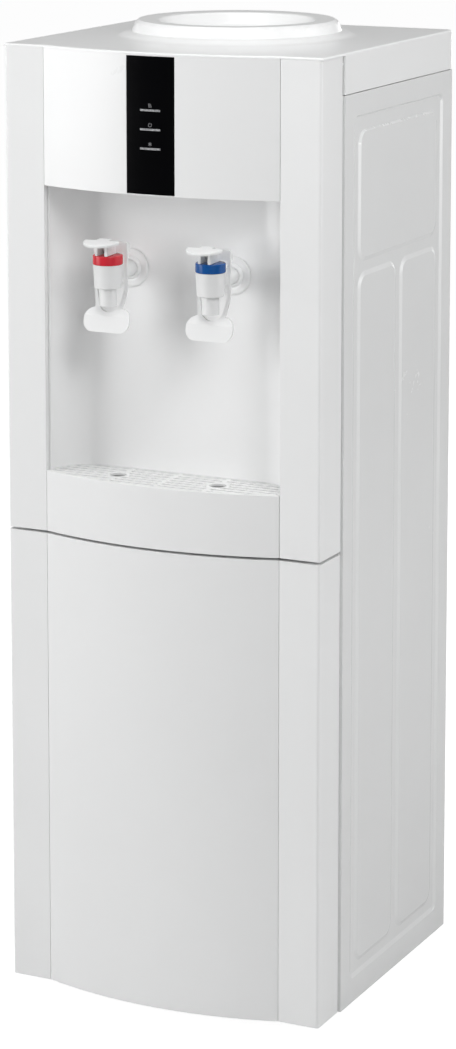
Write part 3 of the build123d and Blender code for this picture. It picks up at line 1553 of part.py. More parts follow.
gland_nut = 5.0
gland_tail = 12.0
gland_grip = 3.5
gland_bore = 3.6
gland_ridge = 0.5
with BuildPart() as cord_gland:
    with BuildSketch(facing(gland_x, back_face, gland_z)):
        RegularPolygon(gland_radius + gland_grip, 6, major_radius=False)
    extrude(amount=-gland_nut)
    with BuildSketch(facing(gland_x, back_face, gland_z)):
        Circle(gland_radius)
    extrude(amount=gland_tail)
    with BuildSketch(facing(gland_x, back_face + gland_nut, gland_z)):
        Circle(gland_radius + gland_ridge)
    extrude(amount=-gland_nut + 1.0, taper=20)
    with BuildSketch(facing(gland_x, back_face + 2 * gland_nut, gland_z)):
        Circle(gland_bore)
    extrude(amount=2 * gland_nut + gland_tail + overrun, mode=Mode.SUBTRACT)
save(cord_gland, "cord_gland")
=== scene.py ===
# %% [markdown]
# # A water cooler in its studio
# The real object is a floor-standing cooler almost a metre tall: painted steel sides, a moulded
# white front that swells a little, two lever taps in a niche, and a round collar for the bottle.
# Its sizes and joints are already measured, so this script loads that model as a fixed frame. It
# could be modelled again here, but then every size would have to be found twice. So the script
# only gives each piece the soft edges, small details and finishes that the eye expects.

# %% Load the measured model
import json
from math import cos, pi, radians, sin, sqrt

import bmesh
import bpy
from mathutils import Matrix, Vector
from mathutils.bvhtree import BVHTree


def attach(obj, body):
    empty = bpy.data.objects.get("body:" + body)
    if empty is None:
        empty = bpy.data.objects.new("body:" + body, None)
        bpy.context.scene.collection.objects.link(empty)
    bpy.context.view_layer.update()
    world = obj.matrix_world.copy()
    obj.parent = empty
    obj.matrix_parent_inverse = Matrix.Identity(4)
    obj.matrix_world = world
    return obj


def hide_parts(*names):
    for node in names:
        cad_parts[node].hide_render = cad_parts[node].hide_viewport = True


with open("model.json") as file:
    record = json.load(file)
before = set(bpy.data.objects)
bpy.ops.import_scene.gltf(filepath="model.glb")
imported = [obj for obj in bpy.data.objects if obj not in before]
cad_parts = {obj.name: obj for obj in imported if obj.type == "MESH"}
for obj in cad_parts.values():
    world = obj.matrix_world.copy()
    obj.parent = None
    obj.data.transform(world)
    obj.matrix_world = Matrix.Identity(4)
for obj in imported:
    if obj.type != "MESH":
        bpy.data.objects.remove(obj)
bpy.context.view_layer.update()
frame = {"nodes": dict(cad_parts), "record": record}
cad_nodes = frame["nodes"]
bodies = frame["record"]["behaviour"]["bodies"]
body_of = {node: body for body, members in bodies.items() for node in members}
slot_of = {part["node"]: part["material_slot"] for part in frame["record"]["subparts"]}
millimetre = 0.001

# %% [markdown]
# ## Small tools for shader node trees
# A finish on a real product is never one flat colour: the gloss drifts where hands wipe it, dust
# settles on what faces up, and a moulding has a fine ripple. Each of these effects could be drawn
# again in every material. Making each one a node group keeps it in one place, and every material
# then sets its own amounts.

# %% Helpers for node groups
def new_group(name, inputs, outputs):
    """A node group with named inputs, given by their default values, and named output kinds."""
    tree = bpy.data.node_groups.new(name, "ShaderNodeTree")
    for label, default in inputs.items():
        kind = "NodeSocketColor" if isinstance(default, tuple) else "NodeSocketFloat"
        tree.interface.new_socket(name=label, in_out="INPUT", socket_type=kind).default_value = default
    for label, kind in outputs.items():
        tree.interface.new_socket(name=label, in_out="OUTPUT", socket_type=kind)
    return tree, tree.nodes.new("NodeGroupInput").outputs, tree.nodes.new("NodeGroupOutput").inputs


def put(tree, kind, **values):
    """A new node of a kind, with some of its sockets or settings given by name."""
    node = tree.nodes.new(kind)
    for name, value in values.items():
        label = name.replace("_", " ").title()
        if label not in node.inputs:
            setattr(node, name, value)
        elif hasattr(value, "is_output"):
            tree.links.new(value, node.inputs[label])
        else:
            node.inputs[label].default_value = value
    return node


def sum_up(tree, operation, *values):
    """One Math node; each value is a number or another node's output."""
    node = tree.nodes.new("ShaderNodeMath")
    node.operation = operation
    for socket, value in zip(node.inputs, values):
        if hasattr(value, "is_output"):
            tree.links.new(value, socket)
        else:
            socket.default_value = value
    return node.outputs[0]


def blend_colours(tree, factor, low, high):
    """A colour mix; each colour is a tuple or another node's output."""
    node = tree.nodes.new("ShaderNodeMix")
    node.data_type = "RGBA"
    for socket, value in ((node.inputs["Factor"], factor), (node.inputs[6], low), (node.inputs[7], high)):
        if hasattr(value, "is_output"):
            tree.links.new(value, socket)
        else:
            socket.default_value = value if isinstance(value, float) else (*value[:3], 1)
    return node.outputs[2]


# %% [markdown]
# ### Ripple, grain and stretch
# Moulded plastic and powder coat both have a ripple that is only seen in reflections, at about one
# to four millimetres. Noise in object space gives it without any unwrapping, and because every
# piece keeps the model's own coordinates, its size is known in metres. Rolled or brushed metal is
# the same noise pulled out along one direction.

# %% Node group: surface ripple
def object_place(tree):
    """The model's own coordinates, in metres."""
    return put(tree, "ShaderNodeTexCoord").outputs["Object"]


def object_noise(tree, scale, detail, rough=0.5, warp=0.0):
    """Noise in the model's own coordinates, in cells per metre."""
    noise = put(tree, "ShaderNodeTexNoise", vector=object_place(tree), scale=scale, detail=detail,
                roughness=rough, distortion=warp)
    return noise.outputs["Fac"]


ripple, taken, given = new_group(
    "Surface ripple", {"Scale": 400.0, "Fine Share": 0.3}, {"Height": "NodeSocketFloat"}
)
broad = object_noise(ripple, taken["Scale"], 2.0)
fine = object_noise(ripple, sum_up(ripple, "MULTIPLY", taken["Scale"], 5.0), 3.0)
mixed = sum_up(ripple, "MULTIPLY_ADD", fine, taken["Fine Share"], broad)
ripple.links.new(mixed, given["Height"])
print("group", ripple.name)

# %% Node group: metal drawn out in one direction
drawn, taken, given = new_group(
    "Drawn grain",
    {"Scale": 900.0, "Stretch": 40.0, "Upright": 1.0},
    {"Height": "NodeSocketFloat", "Streaks": "NodeSocketFloat"},
)
split = put(drawn, "ShaderNodeSeparateXYZ", vector=object_place(drawn)).outputs
short = sum_up(drawn, "DIVIDE", 1.0, taken["Stretch"])
level = sum_up(drawn, "SUBTRACT", 1.0, taken["Upright"])
up_factor = sum_up(drawn, "ADD", sum_up(drawn, "MULTIPLY", taken["Upright"], short), level)
flat_factor = sum_up(drawn, "ADD", taken["Upright"], sum_up(drawn, "MULTIPLY", level, short))
joined = drawn.nodes.new("ShaderNodeCombineXYZ")
for axis, factor in (("X", flat_factor), ("Y", flat_factor), ("Z", up_factor)):
    drawn.links.new(sum_up(drawn, "MULTIPLY", split[axis], factor), joined.inputs[axis])
streaky = put(drawn, "ShaderNodeTexNoise", vector=joined.outputs[0], scale=taken["Scale"], detail=4.0)
grain = streaky.outputs["Fac"]
drawn.links.new(grain, given["Height"])
drawn.links.new(sum_up(drawn, "SUBTRACT", grain, 0.5), given["Streaks"])
print("group", drawn.name)

# %% [markdown]
# ### Handling, tone and dust
# Hands and cloths leave the gloss uneven in soft patches about a hand wide. The colour itself
# drifts by a percent or two with the moulding, and a little dust lies on what faces up. The dust
# could be painted by hand; reading it from the surface normal puts it in the right place on every
# piece at once.

# %% Node group: handled gloss
smear_share = 0.35
handled, taken, given = new_group(
    "Handled gloss", {"Roughness": 0.3, "Spread": 0.05, "Scale": 14.0}, {"Roughness": "NodeSocketFloat"}
)
patches = object_noise(handled, taken["Scale"], 3.0, 0.6, 0.6)
smears = object_noise(handled, sum_up(handled, "MULTIPLY", taken["Scale"], 9.0), 2.0, 0.5, 1.5)
both = sum_up(handled, "MULTIPLY_ADD", smears, smear_share, patches)
centred = sum_up(handled, "SUBTRACT", both, 0.5 * (1 + smear_share))
uneven = sum_up(handled, "MULTIPLY_ADD", centred, taken["Spread"], taken["Roughness"])
handled.links.new(uneven, given["Roughness"])
print("group", handled.name)

# %% Node group: tone drift
tone, taken, given = new_group(
    "Tone drift", {"Colour": (0.8, 0.8, 0.8, 1.0), "Drift": 0.02, "Scale": 6.0}, {"Colour": "NodeSocketColor"}
)
# The noise mostly stays within a quarter of its middle, so four times it is about the named drift.
cloud = sum_up(tone, "SUBTRACT", object_noise(tone, taken["Scale"], 4.0, 0.55), 0.5)
swing = sum_up(tone, "MULTIPLY", taken["Drift"], 4.0)
lightness = sum_up(tone, "MULTIPLY_ADD", cloud, swing, 1.0)
scaled = put(tone, "ShaderNodeVectorMath", operation="SCALE")
tone.links.new(taken["Colour"], scaled.inputs[0])
tone.links.new(lightness, scaled.inputs["Scale"])
tone.links.new(scaled.outputs[0], given["Colour"])
print("group", tone.name)

# %% Node group: settled dust
dust, taken, given = new_group(
    "Settled dust",
    {"Colour": (0.8, 0.8, 0.8, 1.0), "Dust Colour": (0.42, 0.40, 0.37, 1.0), "Amount": 0.05},
    {"Colour": "NodeSocketColor", "Mask": "NodeSocketFloat"},
)
true_normal = put(dust, "ShaderNodeNewGeometry").outputs["Normal"]
facing_up = put(dust, "ShaderNodeSeparateXYZ", vector=true_normal).outputs["Z"]
# A level face keeps all its dust, and a face steeper than about 68 degrees keeps none.
lying = sum_up(dust, "MAXIMUM", sum_up(dust, "MULTIPLY_ADD", facing_up, 1.6, -0.6), 0.0)
specks = object_noise(dust, 55.0, 5.0, 0.7)
mask = sum_up(dust, "MULTIPLY", sum_up(dust, "MULTIPLY", lying, specks), taken["Amount"])
dust.links.new(blend_colours(dust, mask, taken["Colour"], taken["Dust Colour"]), given["Colour"])
dust.links.new(mask, given["Mask"])
print("group", dust.name)

# %% [markdown]
# ### Worn edges and painted edge highlight
# Edges that are touched or knocked turn a little paler, and the same paler colour also stands in for
# the highlight that a rounded edge catches, so the mark is partly wear and partly a painted highlight.
# A mask could be painted, but the Bevel node already knows where the surface turns: where its rounded
# normal leaves the true one, there is an edge.

# %% Node group: worn edges and painted edge highlight
wear_and_highlight_group, taken, given = new_group(
    "Edge wear and painted highlight", {"Width": 0.0012, "Amount": 0.3}, {"Mask": "NodeSocketFloat"}
)
rounded = put(wear_and_highlight_group, "ShaderNodeBevel", samples=4)
wear_and_highlight_group.links.new(taken["Width"], rounded.inputs["Radius"])
match = put(wear_and_highlight_group, "ShaderNodeVectorMath", operation="DOT_PRODUCT")
wear_and_highlight_group.links.new(rounded.outputs[0], match.inputs[0])
wear_and_highlight_group.links.new(put(wear_and_highlight_group, "ShaderNodeNewGeometry").outputs["Normal"], match.inputs[1])
apart = sum_up(wear_and_highlight_group, "SUBTRACT", 1.0, match.outputs["Value"])
turned = sum_up(wear_and_highlight_group, "MINIMUM", sum_up(wear_and_highlight_group, "MULTIPLY", apart, 6.0), 1.0)
patchy = sum_up(wear_and_highlight_group, "MULTIPLY", turned, object_noise(wear_and_highlight_group, 90.0, 4.0, 0.65))
# The paler edge this mask gives is partly wear and partly a painted highlight.
wear_and_highlight_group.links.new(sum_up(wear_and_highlight_group, "MULTIPLY", patchy, taken["Amount"]), given["Mask"])
print("group", wear_and_highlight_group.name)

# %% [markdown]
# ## The finishes
# Nearly every surface of the cooler is one of three kinds: glossy moulded plastic, powder coat on
# steel, and bare metal or rubber inside. They differ in numbers more than in structure, so one
# function builds them all from the groups above. The shader itself stays in each material, and its
# constants are set straight on it.

# %% One function for all finishes
def place_group(tree, group, **values):
    """An instance of a node group with its own values."""
    node = tree.nodes.new("ShaderNodeGroup")
    node.node_tree = group
    for name, value in values.items():
        label = name.replace("_", " ").title()
        if hasattr(value, "is_output"):
            tree.links.new(value, node.inputs[label])
        else:
            node.inputs[label].default_value = (*value, 1) if isinstance(value, tuple) else value
    return node.outputs


def make_finish(name, colour, roughness, spread=0.05, drift=0.012, metallic=0.0, specular=0.5,
                ripple_scale=400.0, ripple_depth=0.00002, fine_share=0.3, dusty=0.05, edge=0.0,
                edge_wear_and_highlight_colour=(0.9, 0.9, 0.9), stretch=0.0, upright=1.0, extra=None):
    """A material whose colour, gloss and relief all vary over the surface."""
    material = bpy.data.materials.new(name)
    material.use_nodes = True
    tree = material.node_tree
    shader = tree.nodes["Principled BSDF"]
    shader.inputs["Metallic"].default_value = metallic
    shader.inputs["Specular IOR Level"].default_value = specular
    paint = place_group(tree, tone, colour=colour, drift=drift)["Colour"]
    gloss = place_group(tree, handled, roughness=roughness, spread=spread)["Roughness"]
    if stretch:
        lines = place_group(tree, drawn, stretch=stretch, upright=upright, scale=ripple_scale)
        height = lines["Height"]
        gloss = sum_up(tree, "MULTIPLY_ADD", lines["Streaks"], 0.25, gloss)
    else:
        height = place_group(tree, ripple, scale=ripple_scale, fine_share=fine_share)["Height"]
    if extra:
        paint, height = extra(tree, paint, height)
    # edge paints every sharp edge paler towards its colour: partly wear, partly a painted highlight.
    if edge:
        edge_wear_and_highlight_mask = place_group(tree, wear_and_highlight_group, amount=edge)["Mask"]
        paint = blend_colours(tree, edge_wear_and_highlight_mask, paint, edge_wear_and_highlight_colour)
    lying_dust = place_group(tree, dust, colour=paint, amount=dusty)
    gloss = sum_up(tree, "ADD", gloss, lying_dust["Mask"])
    bump = put(tree, "ShaderNodeBump", strength=1.0, distance=ripple_depth, height=height)
    tree.links.new(lying_dust["Colour"], shader.inputs["Base Color"])
    tree.links.new(gloss, shader.inputs["Roughness"])
    tree.links.new(bump.outputs[0], shader.inputs["Normal"])
    return material


# %% [markdown]
# ### What a few finishes have of their own
# Hot-dip galvanised sheet shows flat crystals, foam shows closed cells, a circuit board shows copper
# tracks under green lacquer, and a lamp lens that isn't lit is mottled. Each is one small change to
# the colour or the relief, so each is a short function that the finish calls while it is being built.

# %% Crystals, cells, tracks and flecks
def crystals(tree, paint, height):
    """Zinc spangle: flat grains of slightly different brightness."""
    cells = put(tree, "ShaderNodeTexVoronoi", vector=object_place(tree), scale=160.0)
    shade = put(tree, "ShaderNodeSeparateColor", color=cells.outputs["Color"]).outputs["Red"]
    return blend_colours(tree, sum_up(tree, "MULTIPLY", shade, 0.22), paint, (0.40, 0.42, 0.45)), height


def foam_cells(tree, paint, height):
    """Closed foam cells about one and a half millimetres across."""
    cells = put(tree, "ShaderNodeTexVoronoi", vector=object_place(tree), scale=650.0).outputs["Distance"]
    return blend_colours(tree, sum_up(tree, "MULTIPLY", cells, 0.35), paint, (0.62, 0.58, 0.48)), cells


def tracks(tree, paint, height):
    """Copper tracks under the lacquer, a lighter green in straight runs."""
    runs = put(tree, "ShaderNodeTexBrick", vector=object_place(tree), scale=140.0)
    for label, value in (("Color1", (0, 0, 0, 1)), ("Color2", (0, 0, 0, 1)), ("Mortar", (1, 1, 1, 1))):
        runs.inputs[label].default_value = value
    runs.inputs["Mortar Size"].default_value = 0.06
    line = put(tree, "ShaderNodeSeparateColor", color=runs.outputs["Color"]).outputs["Red"]
    return blend_colours(tree, sum_up(tree, "MULTIPLY", line, 0.7), paint, (0.06, 0.32, 0.16)), height


def flecks(tree, paint, height):
    """The mottled scatter of a lamp lens that isn't lit."""
    spots = sum_up(tree, "MULTIPLY_ADD", object_noise(tree, 900.0, 2.0, 0.6), 3.0, -1.1)
    darker = sum_up(tree, "MINIMUM", sum_up(tree, "MAXIMUM", spots, 0.0), 0.7)
    return blend_colours(tree, darker, paint, (0.10, 0.10, 0.11)), height


# %% [markdown]
# ### The list of finishes
# The values come from how the thing looks: the mouldings are a clean cool white with a soft gloss,
# the sides are a shade greyer with a finer grain, the strip on the panel is nearly black and very
# smooth, and the collars under the levers are the only strong colours. Two finishes belong to single
# pieces and not to a slot: the liner of the niche is a little whiter, a lighter copy of the moulding
# that paints in the brighter light inside the niche, and the small signs are grey.

# %% All finishes
# The edge amounts paint sharp edges paler, partly as wear and partly as a painted edge highlight.
finishes = {
    "white_moulding": dict(colour=(0.86, 0.865, 0.865), roughness=0.29, spread=0.06, ripple_scale=240.0),
    # Painted light: a lighter copy of the moulding that stands in for the brighter light in the niche.
    "white_liner_painted_lighter": dict(colour=(0.91, 0.913, 0.913), roughness=0.30, spread=0.06, ripple_scale=240.0),
    "white_satin": dict(colour=(0.80, 0.80, 0.795), roughness=0.42, ripple_scale=900.0, edge=0.2),
    "painted_sheet": dict(colour=(0.775, 0.78, 0.78), roughness=0.26, ripple_scale=700.0,
                          ripple_depth=0.00004, fine_share=0.5),
    "black_gloss": dict(colour=(0.0015, 0.0015, 0.002), roughness=0.16, drift=0.1, specular=0.12,
                        dusty=0.004),
    "pale_lens": dict(colour=(0.48, 0.49, 0.50), roughness=0.32, ripple_scale=2500.0, extra=flecks),
    "grey_print": dict(colour=(0.24, 0.24, 0.25), roughness=0.45, ripple_scale=2500.0),
    "hot_red": dict(colour=(0.68, 0.028, 0.045), roughness=0.22, drift=0.03, edge=0.15,
                    edge_wear_and_highlight_colour=(0.9, 0.3, 0.3)),
    "cold_blue": dict(colour=(0.004, 0.085, 0.32), roughness=0.22, drift=0.03, edge=0.15,
                      edge_wear_and_highlight_colour=(0.2, 0.4, 0.8)),
    "black_plastic": dict(colour=(0.022, 0.022, 0.024), roughness=0.48, drift=0.05, ripple_scale=1400.0,
                          ripple_depth=0.00008, edge=0.25, edge_wear_and_highlight_colour=(0.12, 0.12, 0.12)),
    "galvanised": dict(colour=(0.62, 0.64, 0.66), roughness=0.34, metallic=1.0, extra=crystals, dusty=0.15),
    "stainless": dict(colour=(0.66, 0.65, 0.63), roughness=0.30, metallic=1.0, stretch=45.0, upright=0.0,
                      ripple_scale=1600.0),
    "bright_steel": dict(colour=(0.72, 0.72, 0.73), roughness=0.16, metallic=1.0, stretch=30.0,
                         ripple_scale=2200.0, ripple_depth=0.00001),
    "aluminium": dict(colour=(0.78, 0.79, 0.80), roughness=0.36, metallic=1.0, stretch=60.0,
                      ripple_scale=1500.0),
    "rubber_dark": dict(colour=(0.028, 0.028, 0.028), roughness=0.72, drift=0.08, ripple_scale=1800.0,
                        ripple_depth=0.0001, dusty=0.2, edge=0.3, edge_wear_and_highlight_colour=(0.09, 0.09, 0.09)),
    "silicone": dict(colour=(0.74, 0.74, 0.71), roughness=0.38, ripple_scale=500.0),
    "foam": dict(colour=(0.82, 0.78, 0.66), roughness=0.85, ripple_depth=0.0004, extra=foam_cells),
    "circuit": dict(colour=(0.015, 0.14, 0.06), roughness=0.30, extra=tracks, dusty=0.15),
    "ceramic": dict(colour=(0.78, 0.76, 0.72), roughness=0.55, ripple_scale=2200.0, fine_share=0.8,
                    dusty=0.1),
}
materials = {label: make_finish(label + "_finish", **values) for label, values in finishes.items()}
# The niche liner gets the lighter copy, which paints in the brighter light of the niche.
own_finish = {"niche_liner": "white_liner_painted_lighter"}
for node, piece in cad_nodes.items():
    piece.data.materials.clear()
    piece.data.materials.append(materials[own_finish.get(node, slot_of[node])])
print("made", len(materials), "finishes for", len(cad_nodes), "pieces")

# %% [markdown]
# ## Soft edges for everything that can be seen
# Nothing moulded or folded has a perfectly sharp edge: plastic comes out of the mould with half a
# millimetre of roundness and bent sheet has more, and those thin roundings catch the light. They
# could be cut in the measured model, where they would add many small faces, so they are made here
# instead: a copy of each visible piece is cleaned into large faces and its sharp edges get a Bevel
# modifier. The copy stands for the measured piece and moves with the same body.

# %% Soften a copy of a measured piece
same_point = 2e-6
flat_angle, sharp_angle = 0.15, 32.0
rounding_segments = 2


def soften(node, width):
    """A copy of a measured piece whose sharp edges are rounded by width, in millimetres."""
    mesh = cad_nodes[node].data.copy()
    work = bmesh.new()
    work.from_mesh(mesh)
    bmesh.ops.remove_doubles(work, verts=work.verts, dist=same_point)
    bmesh.ops.dissolve_limit(work, angle_limit=radians(flat_angle), verts=work.verts, edges=work.edges)
    work.to_mesh(mesh)
    work.free()
    for name in ("custom_normal", "sharp_face", "sharp_edge"):
        if name in mesh.attributes:
            mesh.attributes.remove(mesh.attributes[name])
    for face in mesh.polygons:
        face.use_smooth = True
    piece = bpy.data.objects.new(node + "_soft", mesh)
    bpy.context.scene.collection.objects.link(piece)
    bevel = piece.modifiers.new("rounding", "BEVEL")
    bevel.width = width * millimetre
    bevel.segments = rounding_segments
    bevel.limit_method = "ANGLE"
    bevel.angle_limit = radians(sharp_angle)
    weighted = piece.modifiers.new("flat faces stay flat", "WEIGHTED_NORMAL")
    weighted.mode = "FACE_AREA"
    weighted.weight = 60
    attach(piece, body_of[node])
    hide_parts(node)
    return piece


roundings = {
    0.8: ["side_panel_right", "side_panel_left", "door_frame", "pillar_left", "pillar_right", "top_cover"],
    0.5: ["apron", "control_panel", "door_panel", "niche_liner", "bottle_collar", "door_liner",
          "base_plate", "feet"],
    0.35: ["hot_tap_lever", "cold_tap_lever", "hot_tap_body", "cold_tap_body", "hot_tap_collar",
           "cold_tap_collar", "tap_flanges", "drip_tray", "drip_grille", "magnet_catch",
           "storage_liner", "cord_gland"],
    0.2: ["display_strip", "indicator_lenses", "back_panel", "feed_spike", "hot_tap_stem",
          "cold_tap_stem", "switch_bezels", "hot_switch", "cold_switch", "drain_cap", "drain_pipe",
          "hinge_plate", "strike_plate"],
}
softened = {node: soften(node, width) for width, group in roundings.items() for node in group}
print("softened", len(softened), "pieces")

# %% [markdown]
# ## The pressings in the steel sides
# A shallow pressing in thin sheet runs out in a wide, low slope, because the sheet stretches over
# the tool. The measured model has it deeper and steeper. A bump could fake the low slope, but its
# edge has to catch the light, so the copy's own points are moved: the bottom edge of each slope
# goes further from the slope's top edge and up towards the sheet's face, and both edges get a wide
# rounding. Each side has one long recess with three raised pads in it.

# %% Outlines of the pressings, in millimetres
outer_face, pressed_face = 173.0, 171.0
pressing_depth, slope_run, cad_run = 1.5, 4.5, 2.0
land, pad_gap, pad_corner, split_height = 17.5, 19.0, 12.0, 757.0
recess = dict(y=(-78.5, 148.0), z=(35.0, 908.0), corner=9.0)
front, rear = recess["y"][0] + land, recess["y"][1] - land
bottom, top = recess["z"][0] + land, recess["z"][1] - land
between = (front + rear) / 2
upper_pad = dict(y=(front, rear), z=(split_height + pad_gap / 2, top), corner=pad_corner)
lower_span = (bottom, split_height - pad_gap / 2)
front_pad = dict(y=(front, between - pad_gap / 2), z=lower_span, corner=pad_corner)
rear_pad = dict(y=(between + pad_gap / 2, rear), z=lower_span, corner=pad_corner)
# The recess is pressed inside its outline, and the sheet is pressed outside the outline of a pad.
fields = [(recess, -1.0), (upper_pad, 1.0), (front_pad, 1.0), (rear_pad, 1.0)]
print("fields of a side", [(field["y"], field["z"]) for field, way in fields])


# %% Ease the pressings
def from_outline(point, field):
    """How far a point is outside a field's rounded outline, and the way that leads away from it."""
    offsets = []
    for value, (low, high) in zip(point, (field["y"], field["z"])):
        centre, half = (low + high) / 2, (high - low) / 2 - field["corner"]
        offsets.append((abs(value - centre) - half, 1.0 if value > centre else -1.0))
    (across, side), (along, end) = offsets
    if across > 0 and along > 0:
        reach = sqrt(across * across + along * along)
        return reach - field["corner"], (side * across / reach, end * along / reach)
    if across > along:
        return across - field["corner"], (side, 0.0)
    return along - field["corner"], (0.0, end)


near_face, near_outline, same_level = 0.1, 0.2, 0.01
fold_angle = 5.0
slope_rounding, slope_segments = 1.7, 4


def find_slope_points(work):
    """Points on the edges of the slopes; a point at a slope's foot comes with its way outward."""
    found = {}
    for vertex in work.verts:
        depth_at = abs(vertex.co.x) / millimetre
        point = (vertex.co.y / millimetre, vertex.co.z / millimetre)
        for field, way in fields:
            gap, away = from_outline(point, field)
            if abs(depth_at - outer_face) < near_face and abs(gap) < near_outline:
                found[vertex] = None
            elif abs(depth_at - pressed_face) < near_face and abs(gap - way * cad_run) < near_outline:
                found[vertex] = [way * part for part in away]
    return found


def ease_pressings(piece):
    """Make a side panel's pressed fields shallow, with wide rounded slopes."""
    work = bmesh.new()
    work.from_mesh(piece.data)
    found = find_slope_points(work)
    feet = {vertex: outward for vertex, outward in found.items() if outward}
    for vertex, outward in feet.items():
        outside = 1 if vertex.co.x > 0 else -1
        vertex.co.x += outside * (outer_face - pressed_face - pressing_depth) * millimetre
        vertex.co.y += outward[0] * (slope_run - cad_run) * millimetre
        vertex.co.z += outward[1] * (slope_run - cad_run) * millimetre
    weight = work.edges.layers.float.new("bevel_weight_edge")
    rounded_edges = 0
    for edge in work.edges:
        first, second = edge.verts
        on_slope = first in found and second in found
        if on_slope and abs(first.co.x - second.co.x) < same_level * millimetre:
            if edge.calc_face_angle(0.0) > radians(fold_angle):
                edge[weight] = 1.0
                rounded_edges += 1
    work.to_mesh(piece.data)
    work.free()
    wide = piece.modifiers.new("wide slopes", "BEVEL")
    wide.limit_method = "WEIGHT"
    wide.width = slope_rounding * millimetre
    wide.segments = slope_segments
    piece.modifiers.move(len(piece.modifiers) - 1, 0)
    return len(feet), rounded_edges


for node in ("side_panel_right", "side_panel_left"):
    print(node, "points moved and edges rounded:", ease_pressings(softened[node]))

# %% [markdown]
# ## Small printed signs
# The signs over the three lamps are plain pictograms, and the rockers at the back have the usual
# stroke and ring. A print could be a change of colour, but its fine edge needs more points than a
# whole panel has, so each sign is a thin ribbon that is dropped onto the surface that carries it.

# %% Lines of the signs, in millimetres
def ring(radius, start=0.0, stop=360.0, steps=24):
    """Points on an arc around the sign's own middle, in millimetres; 0 degrees is to the right."""
    turns = [radians(start + (stop - start) * k / steps) for k in range(steps + 1)]
    return [(radius * cos(turn), radius * sin(turn)) for turn in turns]


def wave(offset, height=4.0, swing=0.35, steps=14):
    """An upright wavy line."""
    return [(offset + swing * sin(2 * pi * k / steps), height * (k / steps - 0.5)) for k in range(steps + 1)]


def star(arm, turns=(30, 90, 150)):
    """Straight lines through the sign's middle, two arms each."""
    return [[(end * cos(radians(turn)), end * sin(radians(turn))) for end in (arm, -arm)] for turn in turns]


heat_sign = [wave(offset) for offset in (-1.2, 0.0, 1.2)]
power_sign = [ring(1.8, 125, 415), [(0, 0.3), (0, 2.3)]]
cold_sign = star(2.1)
print("lines in the signs", len(heat_sign), len(power_sign), len(cold_sign))

# %% [markdown]
# ### Dropping a sign onto its surface
# The strip is curved and the rockers are tilted, so a sign can't lie in a plane. Each point of its
# lines is thrown straight at the surface from outside and stays where it lands.

# %% Signs on the strip and on the rockers
throw_from = 0.5
ink_lift, ink_thickness = 0.02, 0.06


def piece_from(work, name):
    """An object in the scene with the mesh that was being made."""
    mesh = bpy.data.meshes.new(name)
    work.to_mesh(mesh)
    work.free()
    piece = bpy.data.objects.new(name, mesh)
    bpy.context.scene.collection.objects.link(piece)
    return piece


def printed_sign(name, node, centre, lines, stroke, facing):
    """Ribbons on a node's surface; facing is -1 for its front and 1 for its back."""
    carrier = cad_nodes[node].data
    surface = BVHTree.FromPolygons([v.co for v in carrier.vertices], [p.vertices for p in carrier.polygons])
    work = bmesh.new()
    for points in lines:
        rails = []
        for k, (x, z) in enumerate(points):
            before, after = points[max(k - 1, 0)], points[min(k + 1, len(points) - 1)]
            run = Vector((after[0] - before[0], after[1] - before[1])).normalized()
            pair = []
            for side in (-0.5, 0.5):
                px = (centre[0] - facing * (x - side * stroke * run.y)) * millimetre
                pz = (centre[1] + z + side * stroke * run.x) * millimetre
                hit = surface.ray_cast(Vector((px, facing * throw_from, pz)), Vector((0, -facing, 0)))[0]
                pair.append(work.verts.new((px, hit.y + facing * ink_lift * millimetre, pz)))
            rails.append(pair)
        for (a, b), (c, d) in zip(rails, rails[1:]):
            work.faces.new((a, b, d, c))
    bmesh.ops.recalc_face_normals(work, faces=work.faces)
    sign = piece_from(work, name)
    sign.data.materials.append(materials["grey_print"])
    ink = sign.modifiers.new("ink thickness", "SOLIDIFY")
    ink.thickness = ink_thickness * millimetre
    ink.offset = 0.0
    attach(sign, body_of[node])
    return sign


top_lens, lens_pitch, sign_rise = 914.0, 18.65, 4.6
sign_stroke, mark_stroke = 0.42, 0.6
signs = []
for k, (name, lines) in enumerate((("heat", heat_sign), ("power", power_sign), ("cold", cold_sign))):
    sign_centre = (0.0, top_lens - k * lens_pitch + sign_rise)
    signs.append(printed_sign("sign_" + name, "display_strip", sign_centre, lines, sign_stroke, -1))
for node in ("hot_switch", "cold_switch"):
    spread = [(v.co.x / millimetre, v.co.z / millimetre) for v in cad_nodes[node].data.vertices]
    (left, low), (right, high) = [min(part) for part in zip(*spread)], [max(part) for part in zip(*spread)]
    reach = (high - low) / 4
    marks = [[(0, reach - 1.6), (0, reach + 1.6)], [(x, z - reach) for x, z in ring(1.7)]]
    rocker_centre = ((left + right) / 2, (low + high) / 2)
    signs.append(printed_sign(node + "_marks", node, rocker_centre, marks, mark_stroke, 1))
print("signs", [sign.name for sign in signs])

# %% [markdown]
# ## Screws on the back
# The back is held by button-head screws along its two flanges, and four more hold the fan. Their
# heads stand on the sheet, so they are turned shapes with a six-sided socket.

# %% Screw heads
# Radius, height over the sheet, and whether the ring is six-sided.
screw_profile = [(3.5, -0.2, False), (3.5, 0.35, False), (3.1, 1.1, False), (2.3, 1.6, False),
                 (1.5, 1.8, True), (1.3, 1.7, True), (1.25, 0.8, True), (0.3, 0.7, True)]
screw_sides = 36


